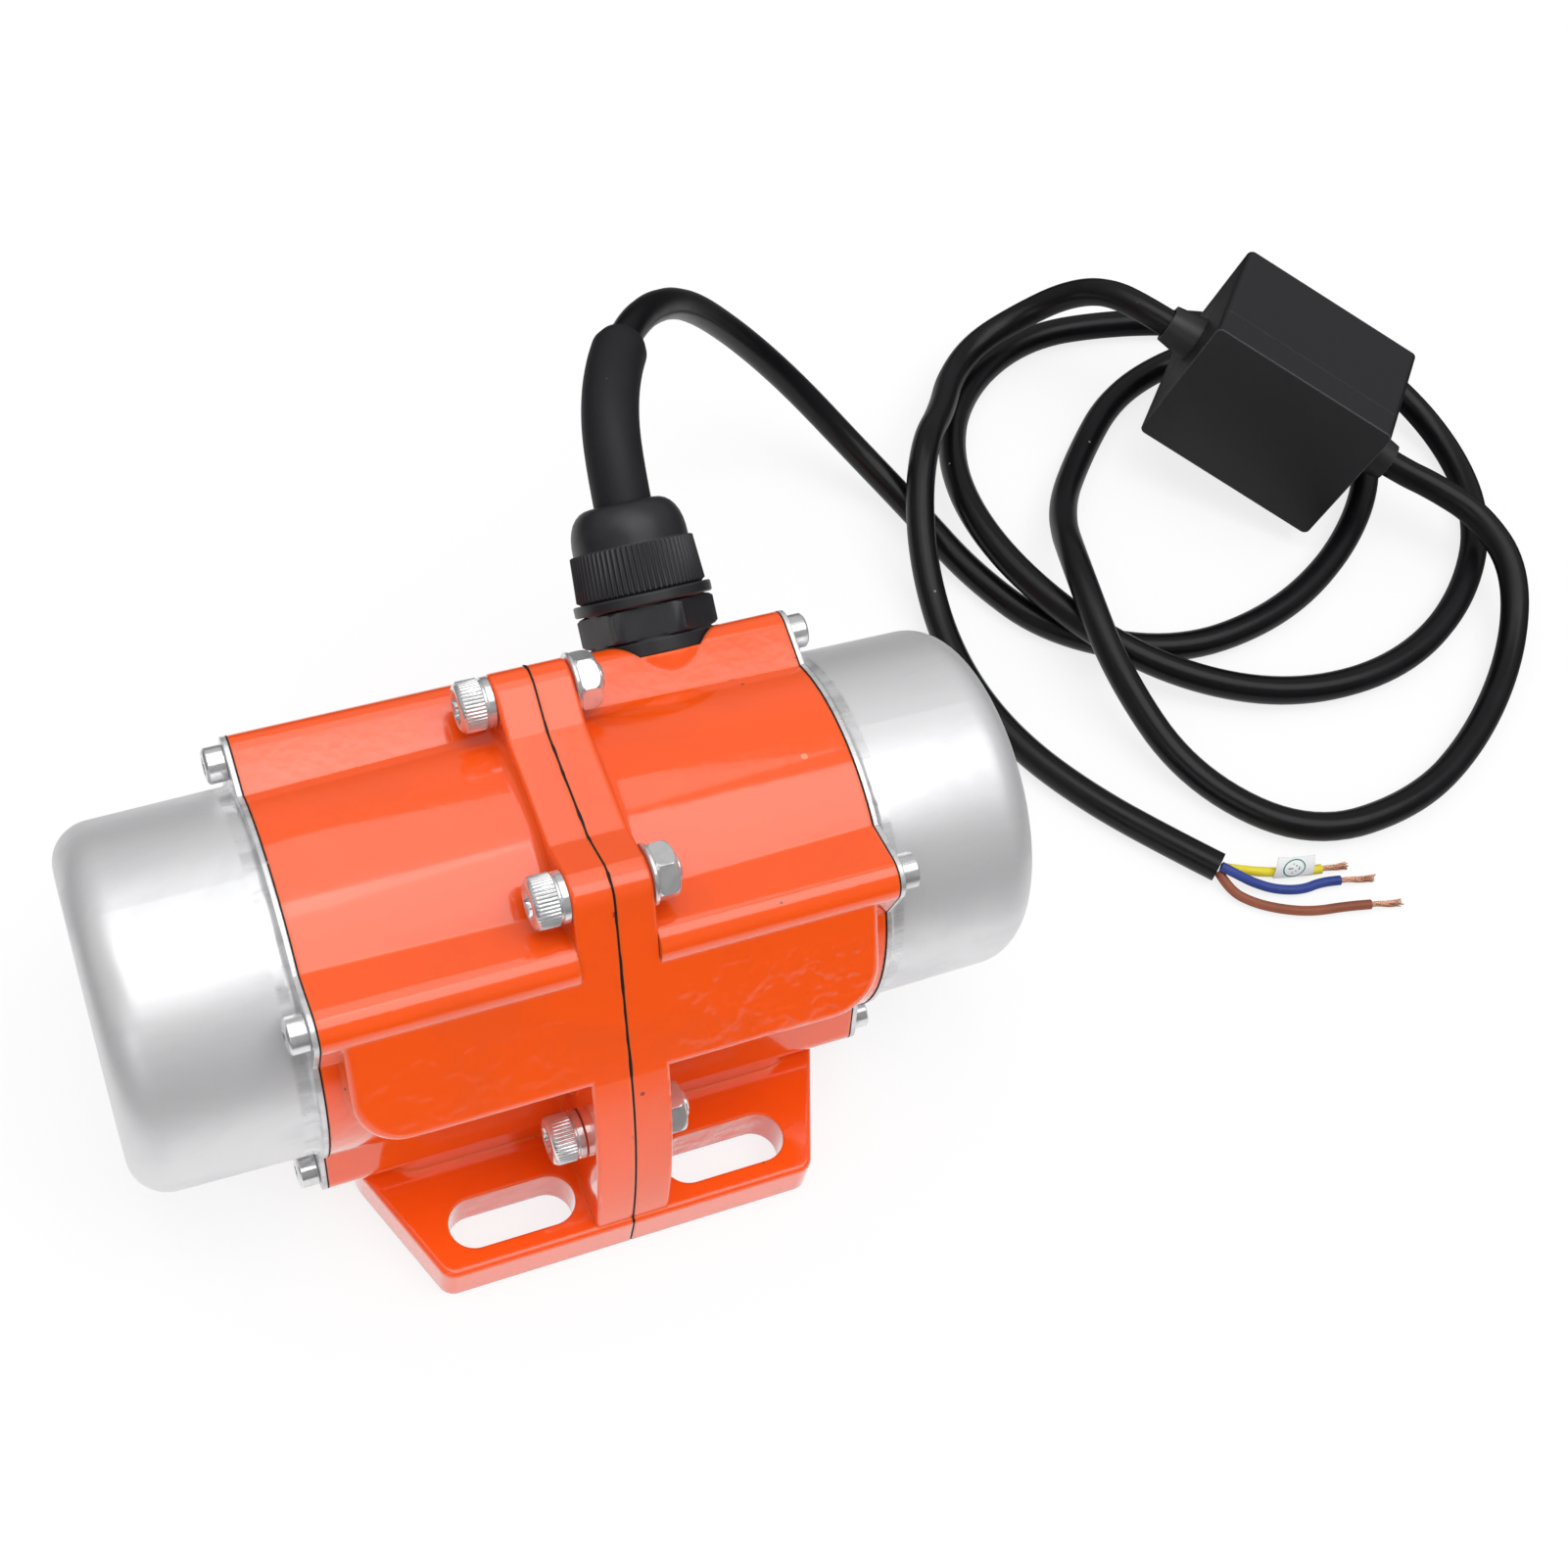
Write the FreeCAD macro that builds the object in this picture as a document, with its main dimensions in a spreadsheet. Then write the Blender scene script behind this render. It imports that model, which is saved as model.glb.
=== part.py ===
"""Foot-mounted vibration motor with its flying lead, capacitor box and supply lead.

Frame: +Z up, +X along the shaft towards the gland end, origin on the floor under the
middle of the foot. Turned and cast parts are drawn about the shaft, so their bodies
are lifted by the axis height. Lengths are in millimetres and angles in degrees.
"""
import FreeCAD, Part
import math
import os
from types import SimpleNamespace

import Sketcher
from FreeCAD import Placement, Rotation, Vector

SIZES = [
    ("axis_height", 43.5, "shaft axis above the floor"),
    # cast housing, one half each side of the joint plane
    ("seal_thickness", 0.4, "seal between the two halves"),
    ("flange_half", 7.7, "joint plane to the outer face of one flange"),
    ("flange_edge_round", 0.8, "rounding round the flange face"),
    ("flange_inset", 0.6, "flange corner inside the front of the foot"),
    ("root_fillet", 2.0, "fillet between barrel and flange"),
    ("barrel_root_radius", 38.0, "barrel at the joint plane"),
    ("barrel_end_radius", 37.2, "barrel at its open end"),
    ("housing_end", 55.2, "joint plane to the end of the barrel"),
    ("crown_dip", 41.3, "top of the flange between its two ears"),
    ("crown_dip_half", 12.0, "half width of that flat"),
    ("crown_rise", 45.0, "height where the ear facet starts"),
    ("crown_rise_half", 20.5, "half width there"),
    ("crown_corner_y", 25.2, "ear corner of the flange, sideways"),
    ("crown_corner_z", 45.2, "ear corner of the flange, upwards"),
    ("crown_round", 5.0, "rounding of the ear corner"),
    ("shoulder_y", 45.0, "where the straight side meets the skirt, sideways"),
    ("shoulder_z", 7.3, "where the straight side meets the skirt, upwards"),
    ("skirt_radius", 110.0, "flare of the flange down to the foot"),
    ("ear_pitch", 41.27, "shaft axis to a cap screw"),
    ("ear_radius", 4.8, "nose of a cap screw ear"),
    ("ear_root", 30.0, "where the ear flanks end inside the barrel"),
    ("ear_flank_angle", 58.0, "where a flank leaves the nose"),
    ("cheek_top", 29.0, "top of the side cheek"),
    ("cheek_end", 51.5, "joint plane to the end of the cheek"),
    ("cheek_corner", 10.0, "lower end corner of the cheek"),
    ("cheek_edge_round", 2.0, "rounding of the cheek end"),
    ("underside_y", 36.0, "cheek underside meets the barrel, sideways"),
    ("underside_z", -2.0, "cheek underside meets the barrel, upwards"),
    ("leg_end", 45.0, "joint plane to the end of the leg"),
    ("leg_end_round", 8.0, "rounding of the leg end"),
    ("foot_thickness", 9.6, "foot plate"),
    ("foot_half_width", 57.5, "foot plate, half of its width"),
    ("foot_toe", 38.3, "joint plane to the toe corner"),
    ("foot_heel", 49.0, "joint plane to the middle of the foot end"),
    ("foot_heel_half", 30.0, "half width of the straight foot end"),
    ("foot_toe_round", 3.5, "rounding of the toe corner"),
    ("foot_heel_round", 12.0, "rounding of the heel corner"),
    ("foot_edge_round", 1.2, "rounding of the top edge of the foot"),
    ("slot_pitch_x", 44.8, "slot spacing along the shaft"),
    ("slot_pitch_y", 96.2, "slot spacing across the shaft"),
    ("slot_length", 25.7, "slot, end to end"),
    ("slot_width", 10.4, "slot width"),
    # inside of the housing
    ("stator_radius", 32.8, "stator seat"),
    ("stator_half", 20.0, "half length of the cores"),
    ("winding_room_radius", 31.5, "room round the winding heads"),
    ("bearing_wall", 38.0, "joint plane to the bearing wall"),
    ("bearing_wall_thickness", 6.0, "bearing wall"),
    ("bearing_lip", 2.0, "lip that the bearing stops on"),
    ("bearing_lip_radius", 13.0, "hole through that lip"),
    ("bearing_outer_radius", 17.5, "outside of the bearing"),
    ("bearing_width", 11.0, "width of the bearing"),
    ("shaft_radius", 7.5, "bearing journals and weight seats"),
    ("hub_radius", 23.0, "outside of the bearing hub"),
    ("hub_margin", 1.8, "hub beyond the circlip"),
    ("recess_radius", 30.5, "annular recess round the hub"),
    ("circlip_thickness", 1.2, "bearing circlip"),
    ("circlip_groove_radius", 18.7, "circlip groove"),
    ("circlip_bore_radius", 15.0, "circlip opening"),
    ("ring_gap", 0.35, "gap between the bearing rings"),
    ("ring_middle_radius", 12.5, "middle of that gap"),
    # end caps
    ("gasket_thickness", 0.3, "gasket under a cap"),
    ("rim_radius", 37.3, "cap rim and gasket"),
    ("cap_sheet", 1.0, "drawn sheet of the cap"),
    ("cap_radius", 36.0, "cap wall beside its rim"),
    ("cap_tip_radius", 35.66, "cap wall beside its end"),
    ("cap_end", 90.8, "joint plane to the outside of the cap"),
    ("cap_corner", 8.0, "rounding of the cap end"),
    ("cap_rim_round", 1.2, "fillet between wall and rim"),
    ("cap_screw_radius", 2.0, "M4 shank"),
    ("cap_screw_head_radius", 3.5, "M4 head"),
    ("cap_screw_head_height", 4.0, "M4 head height"),
    ("cap_screw_grip", 14.0, "thread below the gasket"),
    ("cap_screw_socket", 3.0, "M4 key across flats"),
    ("cap_screw_socket_depth", 2.2, "M4 key depth"),
    ("screw_clearance", 0.05, "radial clearance round a screw"),
    # bolts through the flange
    ("upper_bolt_y", 21.9, "upper flange bolts, sideways"),
    ("upper_bolt_z", 40.3, "upper flange bolts, upwards"),
    ("lower_bolt_y", 43.0, "lower flange bolts, sideways"),
    ("lower_bolt_z", -16.7, "lower flange bolts, upwards"),
    ("bolt_radius", 3.0, "M6 shank"),
    ("bolt_head_radius", 5.0, "M6 head"),
    ("bolt_head_height", 6.8, "M6 head height"),
    ("bolt_collar_height", 1.0, "plain collar under the head"),
    ("bolt_socket", 5.0, "M6 key across flats"),
    ("bolt_socket_depth", 3.0, "M6 key depth"),
    ("nut_flats", 10.0, "M6 nut across flats"),
    ("nut_height", 5.4, "M6 nut height"),
    ("nut_collar_radius", 5.9, "collar of the nut"),
    ("nut_collar_height", 1.0, "collar height"),
    ("bolt_point", 0.9, "bolt end beyond the nut"),
    # stator, winding and rotor
    ("stator_bore", 19.3, "bore of the stator"),
    ("slot_bottom_radius", 27.5, "bottom of the winding slots"),
    ("slot_opening", 3.4, "width of a winding slot"),
    ("winding_length", 13.0, "length of a winding head"),
    ("winding_inner_radius", 20.5, "inside of a winding head"),
    ("winding_outer_radius", 30.4, "outside of a winding head"),
    ("winding_round", 3.5, "rounding of a winding head"),
    ("air_gap", 0.3, "rotor to stator"),
    ("cage_ring_length", 6.0, "short-circuit ring"),
    ("cage_ring_inner", 12.0, "inside of that ring"),
    ("shaft_core_radius", 9.5, "shaft between the bearings"),
    ("shaft_end", 85.5, "joint plane to the end of the shaft"),
    ("shaft_chamfer", 1.0, "chamfer of the shaft end"),
    # unbalance weights
    ("spacer_wall", 2.5, "spacer tube wall"),
    ("weight_start", 60.0, "joint plane to the fixed weight"),
    ("weight_thickness", 9.0, "one weight"),
    ("weight_gap", 0.4, "between the two weights"),
    ("weight_radius", 31.0, "outside of a weight"),
    ("weight_hub_radius", 13.0, "clamping hub of a weight"),
    ("weight_running_gap", 0.05, "adjustable weight on the shaft"),
    ("set_screw_radius", 2.5, "screw in the hub of a weight"),
    ("shaft_nut_flats", 22.0, "nut on the shaft end"),
    ("shaft_nut_height", 5.0, "its height"),
    ("nut_play", 0.4, "between adjustable weight and washer"),
    ("washer_thickness", 1.5, "washer under that nut"),
    ("washer_radius", 12.0, "washer radius"),
    # gland, along its own axis
    ("gland_x", 31.0, "joint plane to the gland axis"),
    ("gland_tilt", 35.0, "gland axis above the horizontal"),
    ("boss_radius", 13.2, "boss on the housing"),
    ("boss_seat", 42.5, "shaft axis to the seat of the gland"),
    ("gland_thread_radius", 10.0, "M20 thread"),
    ("gland_thread_length", 8.0, "thread in the boss"),
    ("gland_foot_radius", 12.7, "round foot under the hexagon"),
    ("gland_foot_height", 3.0, "its height"),
    ("gland_hex_flats", 24.0, "hexagon across flats"),
    ("gland_hex_height", 6.8, "hexagon height"),
    ("gland_ring_radius", 14.0, "ring above the hexagon"),
    ("gland_ring_height", 2.3, "ring height"),
    ("gland_ring_gap", 0.4, "ring to nut"),
    ("gland_nut_radius", 13.15, "nut at its foot"),
    ("gland_nut_top_radius", 12.55, "nut at its shoulder"),
    ("gland_nut_height", 9.3, "ribbed length of the nut"),
    ("gland_dome_radius", 11.75, "foot of the dome"),
    ("gland_dome_height", 8.6, "dome height"),
    ("gland_mouth_radius", 6.1, "mouth of the dome"),
    ("gland_neck_radius", 8.6, "neck inside the nut"),
    ("gland_bore_radius", 3.8, "bore for the lead"),
    ("gland_wall", 2.0, "wall of the nut"),
    # leads
    ("lead_radius", 3.5, "motor and supply lead"),
    ("sleeve_radius", 5.85, "rubber sleeve outside"),
    ("sleeve_bore", 4.0, "rubber sleeve inside"),
    ("core_radius", 1.15, "insulated core"),
    ("copper_radius", 0.7, "bare strands"),
    # capacitor box, along its own axes
    ("box_length", 50.6, "along the lead"),
    ("box_depth", 36.4, "across, lid included"),
    ("box_height", 38.0, "height"),
    ("lid_depth", 8.4, "depth of the lid"),
    ("box_wall", 2.0, "wall of the shell"),
    ("box_edge_round", 1.6, "rounding of the outer edges"),
    ("capacitor_radius", 13.0, "can inside the box"),
    ("grommet_radius", 6.0, "strain relief at the box"),
    ("grommet_tip_radius", 4.8, "its outer end"),
    ("grommet_length", 8.0, "length outside the box"),
    ("grommet_gap", 0.35, "lead to the bore of the strain relief"),
    ("tag_length", 10.0, "earth tag"),
    ("tag_height", 7.0, "earth tag height"),
    ("tag_thickness", 0.4, "earth tag thickness"),
]

# Box corner nearest the motor: its place, and the lean it has resting on the leads
BOX_PLACE = Vector(190.2, 101.7, 16.6)
BOX_TURN = Rotation(-44.69, 13.05, -8.26)

# Routes of the leads, point by point; a tangent arc rounds each inner point
MOTOR_LEAD = [
    (31, 49, 78), (31, 63, 88), (34, 79, 93), (43, 97, 90), (56, 114, 80), (72, 129, 63),
    (89, 134, 43), (105, 131, 25), (119, 118, 11), (129, 100, 5), (136, 78, 3.6),
    (148, 57, 3.6), (175, 43, 3.6), (205, 46, 3.6), (231, 59, 3.6), (252, 79, 3.6),
    (262, 103, 3.6), (257, 127, 3.6), (237, 141, 3.6), (209, 148, 3.6), (181, 149, 3.6),
    (156, 134, 4), (141, 108, 9), (140, 80, 11.5), (152, 52, 11), (174, 33, 6.5),
    (201, 23, 3.6), (231, 24, 3.6), (257, 38, 3.6), (276, 61, 3.6), (280, 89, 4),
    (266, 113, 11.5), (246, 128, 11.3), (221, 132, 4), (197, 124, 3.6), (179, 107, 4),
    (163, 88, 8), (153, 62, 20.5), (153, 36, 13.5), (162, 9, 4), (183, -14, 3.6),
    (214, -13, 3.6), (239, 0, 3.6), (261, 20, 4.5), (270, 39, 11.5), (267, 55, 14.5),
    (258, 65.5, 16.5), (250.7, 71, 18.2), (242.5, 79.1, 20.9),
]
SLEEVE_POINTS = 4
SUPPLY_LEAD = [
    (207.3, 113.9, 32.4), (197.7, 123.5, 35.5), (191.8, 134.3, 33.2), (186, 142.3, 25.2),
    (176.2, 145.2, 16.7), (163.3, 142.9, 12.1), (152.5, 134.5, 11.1), (143.1, 120.6, 15.6),
    (133.6, 110.4, 19.2), (126.5, 96.4, 15.3), (122.5, 80, 8.8), (121, 62, 4.2), (122, 44, 3.6),
    (127, 27, 3.6), (137, 10, 3.6), (150, -6, 3.6), (158, -15, 3.6),
]
BLUE_CORE = [(158.2, -15.4, 4.6), (161, -18.2, 4.2), (165, -20.6, 2.2), (170, -23.4, 1.3),
             (176, -25.2, 1.3), (181.6, -24.6, 1.3), (186, -25.5, 1.3)]
BROWN_CORE = [(158.0, -15.7, 2.6), (158.6, -20.6, 1.8), (163.2, -25.2, 1.3),
              (169.4, -28.8, 1.3), (176, -31.2, 1.3), (184.4, -32.2, 1.3), (190, -33.4, 1.3)]
EARTH_CORE = [(159.4, -14.9, 2.7), (164.6, -16.6, 1.6), (170.2, -18.6, 1.3),
              (177, -20.6, 1.3), (183, -21.4, 1.3)]
TAG_PLACE = Vector(172.0, -21.2, 0.0)
TAG_TURN = -12.0


class Size:
    """A number that also carries the sheet expression it comes from."""

    def __init__(self, value, text):
        self.value = value
        self.text = text

    def _join(self, other, sign, result):
        return Size(result, "(%s %s %s)" % (self.text, sign, size(other).text))

    def __add__(self, other):
        return self._join(other, "+", self.value + size(other).value)

    def __sub__(self, other):
        return self._join(other, "-", self.value - size(other).value)

    def __mul__(self, other):
        return self._join(other, "*", self.value * size(other).value)

    def __truediv__(self, other):
        return self._join(other, "/", self.value / size(other).value)

    def __neg__(self):
        return Size(-self.value, "(-1 * %s)" % self.text)


def size(number):
    """Gives a plain number the same face as a value of the sheet."""
    return number if isinstance(number, Size) else Size(float(number), "(%.4f)" % number)


def cosine(degrees):
    degrees = size(degrees)
    return Size(math.cos(math.radians(degrees.value)), "cos(1deg * %s)" % degrees.text)


def sine(degrees):
    degrees = size(degrees)
    return Size(math.sin(math.radians(degrees.value)), "sin(1deg * %s)" % degrees.text)


doc = FreeCAD.newDocument("vibration_motor")
sheet = doc.addObject("Spreadsheet::Sheet", "sizes")
for row, (alias, number, note) in enumerate(SIZES, start=1):
    sheet.set("A%d" % row, note)
    sheet.set("B%d" % row, str(number))
    sheet.setAlias("B%d" % row, alias)
doc.recompute()
S = SimpleNamespace(**{alias: Size(number, "sizes." + alias) for alias, number, _ in SIZES})

# Places that several parts share
CAP_FLANGE = S.housing_end + S.gasket_thickness
SCREW_SEAT = CAP_FLANGE + S.cap_sheet
BEARING_START = S.bearing_wall + S.bearing_lip
BEARING_END = BEARING_START + S.bearing_width
WEIGHT_GAP_START = S.weight_start + S.weight_thickness
ADJUSTABLE_START = WEIGHT_GAP_START + S.weight_gap
WASHER_START = ADJUSTABLE_START + S.weight_thickness + S.nut_play
SHAFT_NUT_START = WASHER_START + S.washer_thickness
GLAND_HEXAGON = S.boss_seat + S.gland_foot_height
GLAND_COLLAR = GLAND_HEXAGON + S.gland_hex_height
GLAND_NUT_START = GLAND_COLLAR + S.gland_ring_height + S.gland_ring_gap
GLAND_SHOULDER = GLAND_NUT_START + S.gland_nut_height
GLAND_TOP = GLAND_SHOULDER + S.gland_dome_height
EAR_ANGLE = 45.0
MARGIN = 1.0
NODES = {}


# ---------------------------------------------------------------- drawing helpers

def bind(thing, name, value):
    """Ties one property to the sheet."""
    thing.setExpression(name, size(value).text)


def new_body(label, on_axis=True):
    body = doc.addObject("PartDesign::Body", label)
    body.Label = label
    body.AllowCompound = True
    if on_axis:
        bind(body, "Placement.Base.z", S.axis_height)
    return body


def origin_feature(body, role):
    return next(item for item in body.Origin.OriginFeatures if item.Role == role)


def new_sketch(body, name, role, lift=0.0, turn=None):
    """A sketch on an origin plane of its body, lifted along and turned about an axis."""
    sketch = body.newObject("Sketcher::SketchObject", name)
    sketch.AttachmentSupport = [(origin_feature(body, role), "")]
    sketch.MapMode = "FlatFace"
    if turn:
        sketch.AttachmentOffset = Placement(Vector(), turn)
    bind(sketch, "AttachmentOffset.Base.z", lift)
    return sketch


def pin(sketch, item, point, x, y):
    """Holds one point of a sketch at places given by the sheet."""
    for kind, place in (("DistanceX", size(x)), ("DistanceY", size(y))):
        index = sketch.addConstraint(Sketcher.Constraint(kind, -1, 1, item, point, place.value))
        sketch.setExpression("Constraints[%d]" % index, place.text)


def fix_radius(sketch, item, radius):
    index = sketch.addConstraint(Sketcher.Constraint("Radius", item, size(radius).value))
    sketch.setExpression("Constraints[%d]" % index, size(radius).text)


def draw_arc(sketch, start, end, radius):
    """An arc between two points; a positive radius turns left, a negative one right."""
    chord = end - start
    rise = math.sqrt(max(radius * radius - chord.Length ** 2 / 4, 0.0))
    left = Vector(-chord.y, chord.x, 0).normalize()
    centre = (start + end) / 2 + left * math.copysign(rise, radius)
    first, last = (start, end) if radius > 0 else (end, start)
    angles = [math.atan2(p.y - centre.y, p.x - centre.x) for p in (first, last)]
    circle = Part.Circle(centre, Vector(0, 0, 1), abs(radius))
    item = sketch.addGeometry(Part.ArcOfCircle(circle, angles[0], angles[1]), False)
    return (item, 1, 2) if radius > 0 else (item, 2, 1)


def loop(sketch, points):
    """A closed outline. A third value in a point bends the line to the next one."""
    spots = [Vector(size(p[0]).value, size(p[1]).value, 0) for p in points]
    pieces = []
    for index, point in enumerate(points):
        start, end = spots[index], spots[(index + 1) % len(points)]
        if len(point) == 3:
            piece = draw_arc(sketch, start, end, size(point[2]).value)
            pieces.append(piece)
        else:
            pieces.append((sketch.addGeometry(Part.LineSegment(start, end), False), 1, 2))
    for index, (item, first, last) in enumerate(pieces):
        following = pieces[(index + 1) % len(pieces)]
        sketch.addConstraint(Sketcher.Constraint("Coincident", item, last, following[0], following[1]))
        pin(sketch, item, first, points[index][0], points[index][1])
        if len(points[index]) == 3:
            bend = size(points[index][2])
            fix_radius(sketch, item, bend if bend.value > 0 else -bend)


def circle(sketch, x, y, radius):
    spot = Vector(size(x).value, size(y).value, 0)
    item = sketch.addGeometry(Part.Circle(spot, Vector(0, 0, 1), size(radius).value), False)
    pin(sketch, item, 3, x, y)
    fix_radius(sketch, item, radius)


def hexagon(sketch, x, y, flats):
    """A hexagon with two corners level with its middle."""
    corner = size(flats) / 2 / cosine(30)
    loop(sketch, [(corner * cosine(60 * k) + x, corner * sine(60 * k) + y) for k in range(6)])


def pad(body, name, sketch, length):
    feature = body.newObject("PartDesign::Pad", name)
    feature.Profile = sketch
    bind(feature, "Length", length)
    return feature


def pocket(body, name, sketch, length, backwards=False):
    feature = body.newObject("PartDesign::Pocket", name)
    feature.Profile = sketch
    feature.Reversed = backwards
    bind(feature, "Length", length)
    return feature


def revolve(body, name, sketch, axis="H_Axis", kind="PartDesign::Revolution"):
    feature = body.newObject(kind, name)
    feature.Profile = sketch
    feature.ReferenceAxis = (sketch, [axis])
    feature.Angle = 360
    return feature


def around(body, name, originals, count):
    """Repeats features round the X axis of their body."""
    pattern = body.newObject("PartDesign::PolarPattern", name)
    pattern.Originals = originals
    pattern.Axis = (origin_feature(body, "X_Axis"), [""])
    pattern.Angle = 360
    pattern.Occurrences = count
    body.Tip = pattern
    return pattern


def mirror_in_body(body, name, originals, role):
    copy = body.newObject("PartDesign::Mirrored", name)
    copy.Originals = originals
    copy.MirrorPlane = (origin_feature(body, role), [""])
    body.Tip = copy
    return copy


def round_edges(body, name, test, radius):
    """Rounds the edges of the body so far that pass a test."""
    doc.recompute()
    base = body.Tip
    names = ["Edge%d" % (k + 1) for k, edge in enumerate(base.Shape.Edges) if test(edge)]
    feature = body.newObject("PartDesign::Fillet", name)
    feature.Base = (base, names)
    bind(feature, "Radius", radius)
    return feature


def edge_along(edge, direction):
    """Whether a straight edge runs along a direction."""
    if not isinstance(edge.Curve, Part.Line):
        return False
    return abs(abs(edge.Curve.Direction.dot(direction)) - 1) < 1e-6


def near(first, second):
    return abs(first - size(second).value) < 1e-3


def turned(label, points, axis="H_Axis", on_axis=True):
    """A part turned on a lathe: its half section swept round."""
    body = new_body(label, on_axis)
    sketch = new_sketch(body, label + "_section", "XZ_Plane")
    loop(sketch, points)
    revolve(body, label + "_turned", sketch, axis)
    return body


def mirrored(source, label):
    """The left-hand copy of a right-hand part."""
    copy = doc.addObject("Part::Mirroring", label)
    copy.Label = label
    copy.Source = source
    copy.Normal = Vector(1, 0, 0)
    return copy


def boolean(kind, label, parts):
    """A union or a cut of finished solids."""
    result = doc.addObject("Part::" + kind, label)
    result.Label = label
    if kind == "Cut":
        result.Base, result.Tool = parts
    else:
        result.Shapes = parts
    return result


def keep(node):
    """Marks an object as a sub-part that is written out."""
    NODES[node.Label] = node
    return node


def keep_pair(source, stem):
    """Keeps a right-hand part and its mirrored twin."""
    keep(source)
    keep(mirrored(source, stem + "_left"))


# ---------------------------------------------------------------- cast housing

def flange_outline(sketch):
    """The flange: dipped crown, two ears, slanted sides and a flared skirt."""
    base = -S.axis_height
    corner = S.foot_half_width - S.flange_inset
    right = [
        (corner, base, S.skirt_radius), (S.shoulder_y, S.shoulder_z),
        (S.crown_corner_y, S.crown_corner_z), (S.crown_rise_half, S.crown_rise),
        (S.crown_dip_half, S.crown_dip),
    ]
    left = [
        (-S.crown_dip_half, S.crown_dip), (-S.crown_rise_half, S.crown_rise),
        (-S.crown_corner_y, S.crown_corner_z), (-S.shoulder_y, S.shoulder_z, S.skirt_radius),
        (-corner, base),
    ]
    loop(sketch, right + left)


def ear_outline(sketch, inner):
    """One cap screw ear, its nose outwards along the sketch's X axis."""
    nose = S.ear_pitch + S.ear_radius * cosine(S.ear_flank_angle)
    side = S.ear_radius * sine(S.ear_flank_angle)
    root = side + (nose - inner) * cosine(S.ear_flank_angle) / sine(S.ear_flank_angle)
    loop(sketch, [(inner, -root), (nose, -side, S.ear_radius), (nose, side), (inner, root)])


def add_ears(body, start, length, inner):
    """Four ears round the shaft axis."""
    turn = Rotation(Vector(0, 0, 1), EAR_ANGLE)
    sketch = new_sketch(body, body.Label + "_ear_outline", "YZ_Plane", start, turn)
    ear_outline(sketch, inner)
    ear = pad(body, body.Label + "_ear", sketch, length)
    around(body, body.Label + "_ears", [ear], 4)


def add_screw_holes(body, start, length, radius, cut=True):
    """Four round holes, or plugs for a cutting tool, on the screw pitch."""
    sketch = new_sketch(body, body.Label + "_hole_outline", "YZ_Plane", start)
    circle(sketch, S.ear_pitch * cosine(EAR_ANGLE), S.ear_pitch * sine(EAR_ANGLE), radius)
    if cut:
        hole = pocket(body, body.Label + "_hole", sketch, length, backwards=True)
    else:
        hole = pad(body, body.Label + "_hole", sketch, length)
    around(body, body.Label + "_holes", [hole], 4)


def barrel_core():
    """Drafted barrel with the four screw ears along it."""
    body = new_body("barrel_core")
    face = S.seal_thickness / 2
    sketch = new_sketch(body, "barrel_section", "XZ_Plane")
    fillet = S.root_fillet
    ridge = S.barrel_root_radius + fillet
    loop(sketch, [(face, 0), (S.housing_end, 0), (S.housing_end, S.barrel_end_radius),
                  (S.flange_half + fillet, S.barrel_root_radius, -fillet),
                  (S.flange_half, ridge), (face, ridge)])
    revolve(body, "barrel_turned", sketch)
    add_ears(body, S.flange_half, S.housing_end - S.flange_half, S.ear_root)
    return body


def joint_flange():
    """Half of the joint flange, its ear corners and outer edge rounded."""
    body = new_body("joint_flange")
    face = S.seal_thickness / 2
    sketch = new_sketch(body, "flange_outline", "YZ_Plane", face)
    flange_outline(sketch)
    pad(body, "flange_pad", sketch, S.flange_half - face)
    along = Vector(1, 0, 0)

    def at_corner(edge):
        return edge_along(edge, along) and near(abs(edge.Vertexes[0].Y), S.crown_corner_y)

    round_edges(body, "flange_corners", at_corner, S.crown_round)

    def on_rim(edge):
        level = all(near(v.X, S.flange_half) for v in edge.Vertexes)
        return level and not all(near(v.Z, -S.axis_height) for v in edge.Vertexes)

    round_edges(body, "flange_rim", on_rim, S.flange_edge_round)
    return body


def side_cheek():
    """Slab between the flange and the upper ear, its lower end corner rounded."""
    body = new_body("side_cheek")
    slope = (S.shoulder_y - S.crown_corner_y) / (S.crown_corner_z - S.shoulder_z)
    top_y = S.shoulder_y - (S.cheek_top - S.shoulder_z) * slope
    start = S.flange_half / 2
    sketch = new_sketch(body, "cheek_outline", "YZ_Plane", start)
    inner = S.stator_radius * cosine(60)
    loop(sketch, [(inner, S.cheek_top), (S.underside_y - 8, S.underside_z),
                  (S.underside_y, S.underside_z), (S.shoulder_y, S.shoulder_z),
                  (top_y, S.cheek_top)])
    pad(body, "cheek_pad", sketch, S.cheek_end - start)

    def below_end(edge):
        spots = edge.Vertexes
        at_end = all(near(v.X, S.cheek_end) for v in spots)
        lowest = near(min(v.Z for v in spots), S.underside_z)
        return at_end and lowest and near(max(v.Y for v in spots), S.shoulder_y)

    round_edges(body, "cheek_lower_corner", below_end, S.cheek_corner)

    def outer_end(edge):
        spots = edge.Vertexes
        at_end = all(near(v.X, S.cheek_end) for v in spots)
        return at_end and near(max(v.Z for v in spots), S.cheek_top) and min(v.Y for v in spots) > top_y.value - 1

    round_edges(body, "cheek_end_edge", outer_end, S.cheek_edge_round)
    return body


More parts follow.
